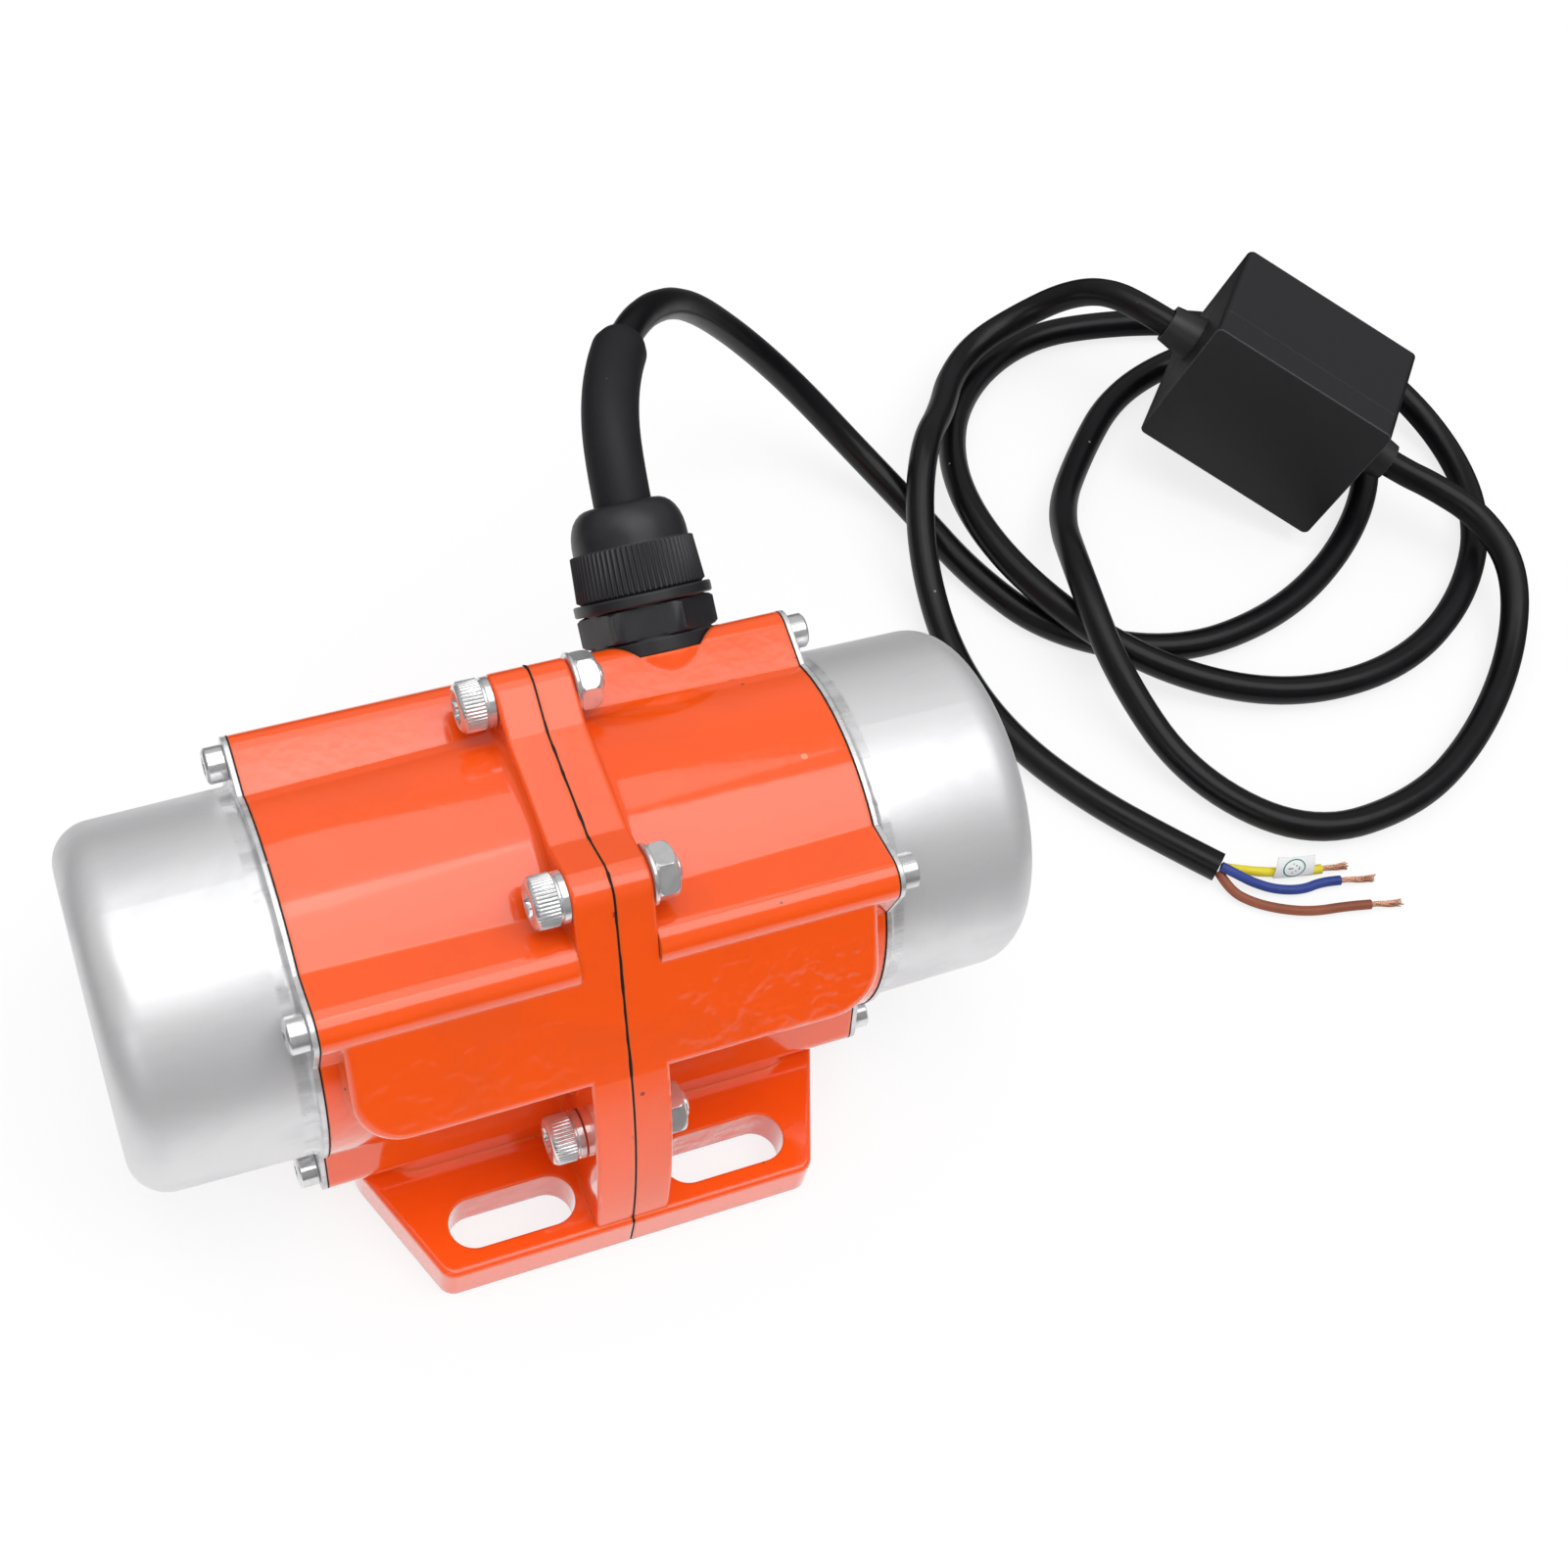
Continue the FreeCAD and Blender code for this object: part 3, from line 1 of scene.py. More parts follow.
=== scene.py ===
"""Vibration motor with its capacitor box and leads, dressed around the packed frame."""

import math
import random

import bmesh
import bpy
from mathutils import Euler, Matrix, Vector


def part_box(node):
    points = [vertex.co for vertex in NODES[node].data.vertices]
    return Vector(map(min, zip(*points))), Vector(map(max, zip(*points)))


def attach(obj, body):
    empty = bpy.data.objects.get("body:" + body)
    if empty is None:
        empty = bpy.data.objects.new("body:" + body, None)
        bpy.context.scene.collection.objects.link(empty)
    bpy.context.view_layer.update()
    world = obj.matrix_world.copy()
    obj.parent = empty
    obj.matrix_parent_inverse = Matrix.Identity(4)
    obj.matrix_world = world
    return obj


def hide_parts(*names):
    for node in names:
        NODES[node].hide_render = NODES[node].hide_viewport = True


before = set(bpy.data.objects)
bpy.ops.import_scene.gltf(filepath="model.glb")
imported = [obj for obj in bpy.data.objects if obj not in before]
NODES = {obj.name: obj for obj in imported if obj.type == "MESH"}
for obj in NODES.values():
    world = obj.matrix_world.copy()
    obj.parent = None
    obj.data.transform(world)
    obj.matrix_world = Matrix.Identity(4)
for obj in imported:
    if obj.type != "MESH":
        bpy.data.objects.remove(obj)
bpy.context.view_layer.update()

bl_info = {
    "name": "Vibration motor",
    "version": (1, 0, 0),
    "blender": (4, 5, 0),
    "location": "3D View > Sidebar > Vibration motor",
    "description": "Dresses a cast two-shell vibration motor with leads and capacitor box",
    "category": "Object",
}

FIXED = "frame"

# Shaft axis of the frame
SHAFT_HEIGHT = 0.0435
ALONG_SHAFT = Vector((1.0, 0.0, 0.0))

# Joint flange: its face, its bolts and half of its outline, sideways and upwards from the shaft
FLANGE_FACE = 0.0077
BOLT_ROWS = ((0.0219, 0.0403), (0.0430, -0.0167))
FOOT_FRONT = 0.05735
FOOT_TOP = -0.0339
SKIRT_FOOT, SHOULDER, SKIRT_RADIUS = (0.0569, -0.0435), (0.0450, 0.0073), 0.110
CROWN_CORNER, CROWN_ROUND = (0.0252, 0.0452), 0.0050
CROWN_RISE, CROWN_DIP = (0.0205, 0.0450), (0.0120, 0.0413)

# Fasteners: heights over their seats, and where the cap screws sit along the shaft
CAP_SCREW_SEAT = 0.0565
CAP_HEAD_HEIGHT, BOLT_HEAD_HEIGHT, NUT_HEIGHT = 0.0040, 0.0068, 0.0054

# Capacitor box: its lowest near corner, how it leans, its length, depth, height and lid depth
BOX_CORNER = Vector((0.1902, 0.1017, 0.0166))
BOX_LEAN = (-8.26, 13.05, -44.69)
BOX_SIZE, LID_DEPTH = (0.0506, 0.0364, 0.0380), 0.0084

# Gland axis, leaning 35 degrees up from the horizontal
GLAND_FOOT = Vector((0.031, 0.0, SHAFT_HEIGHT))
GLAND_WAY = Vector((0.0, math.cos(math.radians(35)), math.sin(math.radians(35))))

# Routes of the leads, point by point
MOTOR_LEAD = [
    (0.031, 0.049, 0.078), (0.031, 0.063, 0.088), (0.034, 0.079, 0.093), (0.043, 0.097, 0.090),
    (0.056, 0.114, 0.080), (0.072, 0.129, 0.063), (0.089, 0.134, 0.043), (0.105, 0.131, 0.025),
    (0.119, 0.118, 0.011), (0.129, 0.100, 0.005), (0.136, 0.078, 0.0036),
    (0.148, 0.057, 0.0036), (0.175, 0.043, 0.0036), (0.205, 0.046, 0.0036),
    (0.231, 0.059, 0.0036), (0.252, 0.079, 0.0036), (0.262, 0.103, 0.0036),
    (0.257, 0.127, 0.0036), (0.237, 0.141, 0.0036), (0.209, 0.148, 0.0036),
    (0.181, 0.149, 0.0036), (0.156, 0.134, 0.004), (0.141, 0.108, 0.009),
    (0.140, 0.080, 0.0115), (0.152, 0.052, 0.011), (0.174, 0.033, 0.0065),
    (0.201, 0.023, 0.0036), (0.231, 0.024, 0.0036), (0.257, 0.038, 0.0036),
    (0.276, 0.061, 0.0036), (0.280, 0.089, 0.004), (0.266, 0.113, 0.0115),
    (0.246, 0.128, 0.0113), (0.221, 0.132, 0.004), (0.197, 0.124, 0.0036),
    (0.179, 0.107, 0.004), (0.163, 0.088, 0.008), (0.153, 0.062, 0.0205),
    (0.153, 0.036, 0.0135), (0.162, 0.009, 0.004), (0.183, -0.014, 0.0036),
    (0.214, -0.013, 0.0036), (0.239, 0.000, 0.0036), (0.261, 0.020, 0.0045),
    (0.270, 0.039, 0.0115), (0.267, 0.055, 0.0145), (0.258, 0.0655, 0.0165),
    (0.2507, 0.071, 0.0182), (0.2425, 0.0791, 0.0209),
]
SUPPLY_LEAD = [
    (0.2073, 0.1139, 0.0324), (0.1977, 0.1235, 0.0355), (0.1918, 0.1343, 0.0332),
    (0.186, 0.1423, 0.0252), (0.1762, 0.1452, 0.0167), (0.1633, 0.1429, 0.0121),
    (0.1525, 0.1345, 0.0111), (0.1431, 0.1206, 0.0156), (0.1336, 0.1104, 0.0192),
    (0.1265, 0.0964, 0.0153), (0.1225, 0.080, 0.0088), (0.121, 0.062, 0.0042),
    (0.122, 0.044, 0.0036), (0.127, 0.027, 0.0036), (0.137, 0.010, 0.0036),
    (0.150, -0.006, 0.0036), (0.158, -0.015, 0.0036),
]
BLUE_CORE = [
    (0.1582, -0.0154, 0.0046), (0.161, -0.0182, 0.0042), (0.165, -0.0206, 0.0022),
    (0.170, -0.0234, 0.0013), (0.176, -0.0252, 0.0013), (0.1816, -0.0246, 0.0013),
    (0.186, -0.0255, 0.0013),
]
BROWN_CORE = [
    (0.158, -0.0157, 0.0026), (0.1586, -0.0206, 0.0018), (0.1632, -0.0252, 0.0013),
    (0.1694, -0.0288, 0.0013), (0.176, -0.0312, 0.0013), (0.1844, -0.0322, 0.0013),
    (0.190, -0.0334, 0.0013),
]
TAG_THICK = 0.00012
INK_LIFT = 0.00016
TAG_CORNERS = [
    Vector((0.1705, -0.0203, 0.0012)), Vector((0.1802, -0.0222, 0.0018)),
    Vector((0.1806, -0.0196, 0.0060)), Vector((0.1716, -0.0178, 0.0062)),
]
EARTH_CORE = [
    (0.1594, -0.0149, 0.0027), (0.1646, -0.0166, 0.0016), (0.1702, -0.0186, 0.0013),
    (0.177, -0.0206, 0.0013), (0.183, -0.0214, 0.0013),
]


# ---------------------------------------------------------------- settings

def size_of(name, description, default, least=0.001):
    """A length for the sidebar, in metres."""
    return bpy.props.FloatProperty(name=name, description=description, subtype="DISTANCE",
                                   unit="LENGTH", min=least, default=default)


def paint_of(name, description, default):
    """A colour for the sidebar."""
    return bpy.props.FloatVectorProperty(name=name, description=description, subtype="COLOR", size=4,
                                         min=0.0, max=1.0, default=default)


class ShellFinish(bpy.types.PropertyGroup):
    """Paint of the cast housing."""

    enamel: paint_of("Enamel", "Colour of the paint", (0.94, 0.092, 0.005, 1.0))
    gloss: bpy.props.FloatProperty(
        name="Roughness", description="Roughness of the paint", subtype="FACTOR",
        min=0.0, max=1.0, default=0.13)
    edge_radius: size_of("Edge radius", "Rounding of the cast edges", 0.0011, least=0.0)
    peel: size_of("Orange peel", "Depth of the ripple in the paint", 0.00006, least=0.0)


class FastenerSizes(bpy.types.PropertyGroup):
    """Screws, bolts and nuts."""

    cap_head: size_of("Cap screw head", "Radius of a cap screw head", 0.0035)
    cap_socket: size_of("Cap screw key", "Key of a cap screw across flats", 0.003)
    bolt_head: size_of("Bolt head", "Radius of a flange bolt head", 0.005)
    bolt_socket: size_of("Bolt key", "Key of a flange bolt across flats", 0.005)
    knurls: bpy.props.IntProperty(
        name="Knurls", description="Grooves round a flange bolt head", min=12, default=44)
    nut_flats: size_of("Nut", "Flange nut across flats", 0.010)
    steel: paint_of("Stainless", "Colour of the fasteners", (0.82, 0.82, 0.83, 1.0))


class GlandSizes(bpy.types.PropertyGroup):
    """Cable gland and its rubber sleeve."""

    hex_flats: size_of("Hexagon", "Gland hexagon across flats", 0.024, least=0.005)
    ribs: bpy.props.IntProperty(
        name="Ribs", description="Grip ribs round the gland nut", min=12, default=72)
    rib_depth: size_of("Rib depth", "Depth of a grip rib", 0.0005, least=0.0)
    sleeve_radius: size_of("Sleeve", "Radius of the rubber sleeve", 0.00585)
    sleeve_length: size_of("Sleeve length", "Length of the sleeve along the lead", 0.0535, least=0.01)


class LeadSizes(bpy.types.PropertyGroup):
    """Leads, cores and strands."""

    lead: size_of("Lead", "Diameter of the motor and supply lead", 0.007)
    core: size_of("Core", "Diameter of an insulated core", 0.0023, least=0.0005)
    strand: size_of("Strand", "Diameter of a copper strand", 0.00026, least=0.0001)
    strands: bpy.props.IntProperty(
        name="Strands", description="Copper strands in a core", min=3, default=16)


class StageLight(bpy.types.PropertyGroup):
    """Lamps and floor."""

    key_power: bpy.props.FloatProperty(
        name="Top light", description="Power of the lamp behind", unit="POWER",
        min=0.0, default=2.0)
    fill_power: bpy.props.FloatProperty(
        name="Front light", description="Power of the lamp in front", unit="POWER",
        min=0.0, default=1.1)
    pane: bpy.props.FloatProperty(
        name="Soft box", description="Brightness of the soft box overhead",
        min=0.0, default=2.0)
    sky: bpy.props.FloatProperty(
        name="Room", description="Brightness of the room round the stage",
        min=0.0, default=0.56)


SETTINGS = {
    "motor_shell": ShellFinish,
    "motor_fasteners": FastenerSizes,
    "motor_gland": GlandSizes,
    "motor_leads": LeadSizes,
    "motor_stage": StageLight,
}


# ---------------------------------------------------------------- node helpers

def put(tree, kind, **values):
    """Adds a node and sets its attributes or, by name, its input sockets."""
    made = tree.nodes.new(kind)
    for key, value in values.items():
        if hasattr(made, key) and key not in made.inputs:
            setattr(made, key, value)
        else:
            made.inputs[key.replace("_", " ")].default_value = value
    return made


def join(tree, start, end):
    tree.links.new(start, end)
    return start


def blend_colour(tree, factor, first, second):
    """Mixes two colours, each a socket or a plain value."""
    made = tree.nodes.new("ShaderNodeMix")
    made.data_type = "RGBA"
    for socket, value in ((made.inputs[0], factor), (made.inputs[6], first), (made.inputs[7], second)):
        if isinstance(value, bpy.types.NodeSocket):
            tree.links.new(value, socket)
        else:
            socket.default_value = value
    return made.outputs[2]


def reckon(tree, operation, first, second=None, third=None, clamp=False):
    """One Math node on sockets or numbers."""
    made = tree.nodes.new("ShaderNodeMath")
    made.operation = operation
    made.use_clamp = clamp
    for socket, value in zip(made.inputs, (first, second, third)):
        if isinstance(value, bpy.types.NodeSocket):
            tree.links.new(value, socket)
        elif value is not None:
            socket.default_value = value
    return made.outputs[0]


def tint(tree, mask, share, first, second):
    """Mixes a share of the second colour in where the mask is."""
    return blend_colour(tree, reckon(tree, "MULTIPLY", mask, share), first, second)


def span(tree, value, low, high, to_low=0.0, to_high=1.0):
    """Smoothly maps low..high of a mask to to_low..to_high."""
    made = tree.nodes.new("ShaderNodeMapRange")
    made.interpolation_type = "SMOOTHSTEP"
    tree.links.new(value, made.inputs[0])
    for socket, number in zip(made.inputs[1:5], (low, high, to_low, to_high)):
        socket.default_value = number
    return made.outputs[0]


def place_of(tree):
    """Position on the piece, in metres."""
    return tree.nodes.new("ShaderNodeTexCoord").outputs["Object"]


def noise(tree, scale, detail=2.0, where=None, roughness=0.5):
    made = put(tree, "ShaderNodeTexNoise", Scale=scale, Detail=detail, Roughness=roughness)
    tree.links.new(where or place_of(tree), made.inputs["Vector"])
    return made.outputs["Fac"]


def new_group(name, inputs, outputs):
    """A shader group with named inputs and outputs."""
    tree = bpy.data.node_groups.new(name, "ShaderNodeTree")
    for label, kind, value in inputs:
        socket = tree.interface.new_socket(name=label, in_out="INPUT", socket_type=kind)
        socket.default_value = value
    for label, kind in outputs:
        tree.interface.new_socket(name=label, in_out="OUTPUT", socket_type=kind)
    return tree, tree.nodes.new("NodeGroupInput"), tree.nodes.new("NodeGroupOutput")


NUMBER, VECTOR = "NodeSocketFloat", "NodeSocketVector"


def build_edge_group():
    """Rounded normal of the edges, and a mask of where they are, which feeds both chips and painted edge
    highlights.
    """
    tree, given, result = new_group(
        "Rounded edges", [("Radius", NUMBER, 0.001)], [("Edge", NUMBER), ("Normal", VECTOR)])
    soft = put(tree, "ShaderNodeBevel", samples=6)
    join(tree, given.outputs["Radius"], soft.inputs["Radius"])
    plain = tree.nodes.new("ShaderNodeNewGeometry")
    dot = put(tree, "ShaderNodeVectorMath", operation="DOT_PRODUCT")
    join(tree, soft.outputs[0], dot.inputs[0])
    join(tree, plain.outputs["Normal"], dot.inputs[1])
    join(tree, span(tree, dot.outputs["Value"], 0.995, 0.90), result.inputs["Edge"])
    join(tree, soft.outputs[0], result.inputs["Normal"])


def build_ripple_group():
    """Fine ripple over slower waves, as a height."""
    tree, given, result = new_group(
        "Skin ripple", [("Fine Scale", NUMBER, 900.0), ("Wave Scale", NUMBER, 60.0),
                        ("Waves", NUMBER, 0.5)], [("Height", NUMBER)])
    where = place_of(tree)
    fine = put(tree, "ShaderNodeTexNoise", Detail=1.0)
    slow = put(tree, "ShaderNodeTexNoise", Detail=1.0)
    for made, label in ((fine, "Fine Scale"), (slow, "Wave Scale")):
        join(tree, where, made.inputs["Vector"])
        join(tree, given.outputs[label], made.inputs["Scale"])
    waves = reckon(tree, "MULTIPLY", slow.outputs["Fac"], given.outputs["Waves"])
    join(tree, reckon(tree, "ADD", waves, fine.outputs["Fac"]), result.inputs["Height"])


def build_speck_group():
    """Sparse small dots of dust or dirt, as a mask."""
    tree, given, result = new_group(
        "Specks", [("Scale", NUMBER, 120.0), ("Size", NUMBER, 0.08), ("Share", NUMBER, 0.3)],
        [("Mask", NUMBER)])
    cells = put(tree, "ShaderNodeTexVoronoi")
    join(tree, place_of(tree), cells.inputs["Vector"])
    join(tree, given.outputs["Scale"], cells.inputs["Scale"])
    dot = reckon(tree, "LESS_THAN", cells.outputs["Distance"], given.outputs["Size"])
    pick = tree.nodes.new("ShaderNodeSeparateColor")
    join(tree, cells.outputs["Color"], pick.inputs[0])
    chosen = reckon(tree, "LESS_THAN", pick.outputs[0], given.outputs["Share"])
    join(tree, reckon(tree, "MULTIPLY", dot, chosen), result.inputs["Mask"])


def build_smudge_group():
    """Soft uneven patches from handling, as a mask."""
    tree, given, result = new_group(
        "Handling marks", [("Scale", NUMBER, 40.0), ("Stretch", VECTOR, (1.0, 1.0, 1.0))],
        [("Mask", NUMBER)])
    stretched = put(tree, "ShaderNodeVectorMath", operation="MULTIPLY")
    join(tree, place_of(tree), stretched.inputs[0])
    join(tree, given.outputs["Stretch"], stretched.inputs[1])
    made = put(tree, "ShaderNodeTexNoise", Detail=5.0, Roughness=0.62, Distortion=0.6)
    join(tree, stretched.outputs[0], made.inputs["Vector"])
    join(tree, given.outputs["Scale"], made.inputs["Scale"])
    join(tree, span(tree, made.outputs["Fac"], 0.42, 0.66), result.inputs["Mask"])


def build_effects():
    for maker in (build_edge_group, build_ripple_group, build_speck_group, build_smudge_group):
        maker()


def effect(tree, name, **values):
    """Places one of the shared effects with its own values."""
    made = tree.nodes.new("ShaderNodeGroup")
    made.node_tree = bpy.data.node_groups[name]
    for key, value in values.items():
        made.inputs[key.replace("_", " ")].default_value = value
    return made.outputs


def finish_of(name, base, roughness, metallic=0.0, coat=0.0, specular=0.5):
    """A new material with its shader; returns the material, its tree and the shader."""
    material = bpy.data.materials.new(name.replace("_", " ").capitalize())
    material.use_nodes = True
    tree = material.node_tree
    shader = tree.nodes["Principled BSDF"]
    shader.inputs["Base Color"].default_value = base
    shader.inputs["Roughness"].default_value = roughness
    shader.inputs["Metallic"].default_value = metallic
    shader.inputs["Coat Weight"].default_value = coat
    shader.inputs["Specular IOR Level"].default_value = specular
    material.diffuse_color = base
    return material, tree, shader


def bump(tree, shader, height, depth, normal=None):
    """Feeds a height, times its depth in metres, to the shader's normal."""
    made = put(tree, "ShaderNodeBump", Strength=1.0, Distance=depth)
    join(tree, height, made.inputs["Height"])
    if normal is not None:
        join(tree, normal, made.inputs["Normal"])
    join(tree, made.outputs[0], shader.inputs["Normal"])


def shade(colour, factor):
    return tuple(min(1.0, c * factor) for c in colour[:3]) + (1.0,)


# ---------------------------------------------------------------- finishes

def cast_lumps(tree):
    """Uneven casting on the front cheeks, more of it on the right one, as a height."""
    reach = tree.nodes.new("ShaderNodeSeparateXYZ")
    join(tree, place_of(tree), reach.inputs[0])
    facing = tree.nodes.new("ShaderNodeSeparateXYZ")
    join(tree, tree.nodes.new("ShaderNodeNewGeometry").outputs["Normal"], facing.inputs[0])
    cheek = reckon(tree, "MULTIPLY", span(tree, reach.outputs[1], -0.034, -0.038),
                   span(tree, reach.outputs[1], -0.054, -0.050))
    cheek = reckon(tree, "MULTIPLY", cheek, span(tree, facing.outputs[1], -0.70, -0.95))
    beside = span(tree, reckon(tree, "ABSOLUTE", reach.outputs[0]), 0.0085, 0.0125)
    share = reckon(tree, "MULTIPLY", beside, span(tree, reach.outputs[0], -0.010, 0.010, 0.30, 1.0))
    lumps = span(tree, noise(tree, 210.0, 1.5), 0.38, 0.62)
    return reckon(tree, "MULTIPLY", lumps, reckon(tree, "MULTIPLY", share, cheek))


def enamel_finish(settings):
    """Glossy paint with orange peel, a painted highlight along the edges, grit and small chips."""
    base = tuple(settings.enamel)
    material, tree, shader = finish_of("orange_enamel", base, settings.gloss, coat=1.0, specular=0.45)
    shader.inputs["Coat Roughness"].default_value = 0.05
    edges = effect(tree, "Rounded edges", Radius=settings.edge_radius)
    patches = effect(tree, "Handling marks", Scale=26.0)["Mask"]
    deep = shade(base, 0.86)
    # Painted highlight: a paler, pinker orange mixed in along the rounded edges.
    light = (min(1.0, base[0] * 1.04), base[1] * 1.7, base[2] * 2.4, 1.0)
    colour = tint(tree, patches, 0.45, base, deep)
    edge_highlight_share = reckon(tree, "MULTIPLY", edges["Edge"], 0.55)
    colour = blend_colour(tree, edge_highlight_share, colour, light)
    grit = effect(tree, "Specks", Scale=95.0, Size=0.045, Share=0.22)["Mask"]
    colour = tint(tree, grit, 0.8, colour, (0.09, 0.02, 0.01, 1.0))
    dust = effect(tree, "Specks", Scale=70.0, Size=0.05, Share=0.25)["Mask"]
    colour = tint(tree, dust, 0.5, colour, (1.0, 0.42, 0.25, 1.0))
    chipping = reckon(tree, "MULTIPLY", edges["Edge"], span(tree, noise(tree, 210.0, 3.0), 0.66, 0.70))
    colour = blend_colour(tree, chipping, colour, (0.16, 0.02, 0.008, 1.0))
    join(tree, colour, shader.inputs["Base Color"])
    rough = span(tree, patches, 0.0, 1.0, settings.gloss, settings.gloss + 0.06)
    join(tree, rough, shader.inputs["Roughness"])
    skin = effect(tree, "Skin ripple", Fine_Scale=420.0, Wave_Scale=70.0, Waves=2.4)["Height"]
    skin = reckon(tree, "MULTIPLY_ADD", dust, 0.7, skin)
    skin = reckon(tree, "ADD", skin, reckon(tree, "MULTIPLY", cast_lumps(tree), 5.0))
    bump(tree, shader, skin, settings.peel, edges["Normal"])
    return material


def cap_finish():
    """Drawn aluminium: satin wall, a glossier band beside the flange with painted shade in patches there,
    smudges and scratches.
    """
    material, tree, shader = finish_of("satin_aluminium", (0.79, 0.79, 0.80, 1.0), 0.35, metallic=0.6)
    reach = tree.nodes.new("ShaderNodeSeparateXYZ")
    join(tree, place_of(tree), reach.inputs[0])
    away = reckon(tree, "ABSOLUTE", reach.outputs[0])
    band = span(tree, away, 0.0600, 0.0592)
    marks = effect(tree, "Handling marks", Scale=55.0, Stretch=(0.5, 1.0, 1.0))["Mask"]
    flange_shade_patches = effect(tree, "Handling marks", Scale=240.0, Stretch=(0.25, 1.0, 1.0))["Mask"]
    colour = tint(tree, marks, 0.40, (0.80, 0.80, 0.81, 1.0),
                          (0.67, 0.67, 0.69, 1.0))
    # Painted shade: beside the flange the cap is darkened towards grey, in noisy patches.
    flange_shade = reckon(tree, "MULTIPLY", reckon(tree, "MULTIPLY", band, flange_shade_patches), 0.7)
    colour = blend_colour(tree, flange_shade, colour, (0.50, 0.50, 0.51, 1.0))
    scars = effect(tree, "Specks", Scale=60.0, Size=0.06, Share=0.2)["Mask"]
    colour = tint(tree, scars, 0.5, colour, (0.45, 0.45, 0.47, 1.0))
    join(tree, colour, shader.inputs["Base Color"])
    rough = reckon(tree, "MULTIPLY_ADD", marks, 0.08, 0.40)
    rough = reckon(tree, "MULTIPLY_ADD", band, -0.14, rough, clamp=True)
    join(tree, rough, shader.inputs["Roughness"])
    edges = effect(tree, "Rounded edges", Radius=0.0004)
    grain = effect(tree, "Skin ripple", Fine_Scale=3200.0, Wave_Scale=45.0, Waves=6.0)["Height"]
    bump(tree, shader, grain, 0.000010, edges["Normal"])
    return material


def stainless_finish(settings):
    """Bright turned steel with fine turning marks and darker patches at random."""
    base = tuple(settings.steel)
    material, tree, shader = finish_of("stainless_steel", base, 0.17, metallic=0.75)
    marks = effect(tree, "Handling marks", Scale=300.0)["Mask"]
    join(tree, tint(tree, marks, 0.5, base, shade(base, 0.72)),
         shader.inputs["Base Color"])
    join(tree, reckon(tree, "MULTIPLY_ADD", marks, 0.12, 0.14), shader.inputs["Roughness"])
    edges = effect(tree, "Rounded edges", Radius=0.00018)
    grain = effect(tree, "Skin ripple", Fine_Scale=5200.0, Wave_Scale=700.0, Waves=1.0)["Height"]
    bump(tree, shader, grain, 0.000006, edges["Normal"])
    return material


def plastic_finish(name, base, roughness, edge_shading_colour, edge_radius, grain, depth, edge_shading_share=0.5):
    """Moulded plastic with fine grain, a painted highlight along the edges (a darker painted shade on the
    tag) and a little dust.
    """
    material, tree, shader = finish_of(name, base, roughness)
    edges = effect(tree, "Rounded edges", Radius=edge_radius)
    marks = effect(tree, "Handling marks", Scale=50.0)["Mask"]
    colour = tint(tree, marks, 0.4, base, shade(base, 1.35))
    # Painted highlight: the edges are lightened towards the edge colour; on the tag that colour is
    # darker, a painted shade.
    colour = tint(tree, edges["Edge"], edge_shading_share, colour, edge_shading_colour)
    dust = effect(tree, "Specks", Scale=90.0, Size=0.035, Share=0.35)["Mask"]
    colour = tint(tree, dust, 0.6, colour, (0.30, 0.29, 0.30, 1.0))
    join(tree, colour, shader.inputs["Base Color"])
    join(tree, reckon(tree, "MULTIPLY_ADD", marks, 0.10, roughness), shader.inputs["Roughness"])
    skin = effect(tree, "Skin ripple", Fine_Scale=grain, Wave_Scale=grain / 12, Waves=1.0)["Height"]
    bump(tree, shader, skin, depth, edges["Normal"])
    return material


def lead_finish(name, base, roughness, dusty):
    """Flexible jacket, drawn smooth, with dust clinging to it."""
    material, tree, shader = finish_of(name, base, roughness, specular=0.28)
    marks = effect(tree, "Handling marks", Scale=38.0)["Mask"]
    colour = tint(tree, marks, 0.5, base, shade(base, 1.5))
    dust = effect(tree, "Specks", Scale=150.0, Size=0.05, Share=dusty)["Mask"]
    colour = tint(tree, dust, 0.55, colour, (0.32, 0.31, 0.31, 1.0))
    join(tree, colour, shader.inputs["Base Color"])
    join(tree, reckon(tree, "MULTIPLY_ADD", marks, 0.09, roughness), shader.inputs["Roughness"])
    skin = effect(tree, "Skin ripple", Fine_Scale=1500.0, Wave_Scale=90.0, Waves=3.0)["Height"]
    bump(tree, shader, skin, 0.000022)
    return material


def metal_finish(name, base, roughness, stretch=(1.0, 1.0, 1.0), scale=120.0):
    """Machined or cast inner metal with uneven tone."""
    material, tree, shader = finish_of(name, base, roughness, metallic=1.0)
    marks = effect(tree, "Handling marks", Scale=scale, Stretch=stretch)["Mask"]
    join(tree, blend_colour(tree, marks, base, shade(base, 0.66)), shader.inputs["Base Color"])
    join(tree, reckon(tree, "MULTIPLY_ADD", marks, 0.14, roughness), shader.inputs["Roughness"])
    edges = effect(tree, "Rounded edges", Radius=0.0003)
    grain = effect(tree, "Skin ripple", Fine_Scale=2600.0, Wave_Scale=260.0, Waves=1.0)["Height"]
    bump(tree, shader, grain, 0.000012, edges["Normal"])
    return material


def banded_finish(name, base, dark, count, roughness, metallic):
    """Stacked sheets or wound wires: fine bands across the shaft."""
    material, tree, shader = finish_of(name, base, roughness, metallic=metallic)
    wave = put(tree, "ShaderNodeTexWave", Scale=count, Distortion=1.5, Detail=1.0)
    wave.bands_direction = "X"
    join(tree, place_of(tree), wave.inputs["Vector"])
    join(tree, blend_colour(tree, wave.outputs["Fac"], dark, base), shader.inputs["Base Color"])
    bump(tree, shader, wave.outputs["Fac"], 0.00008)
    return material


FINISHES = {}


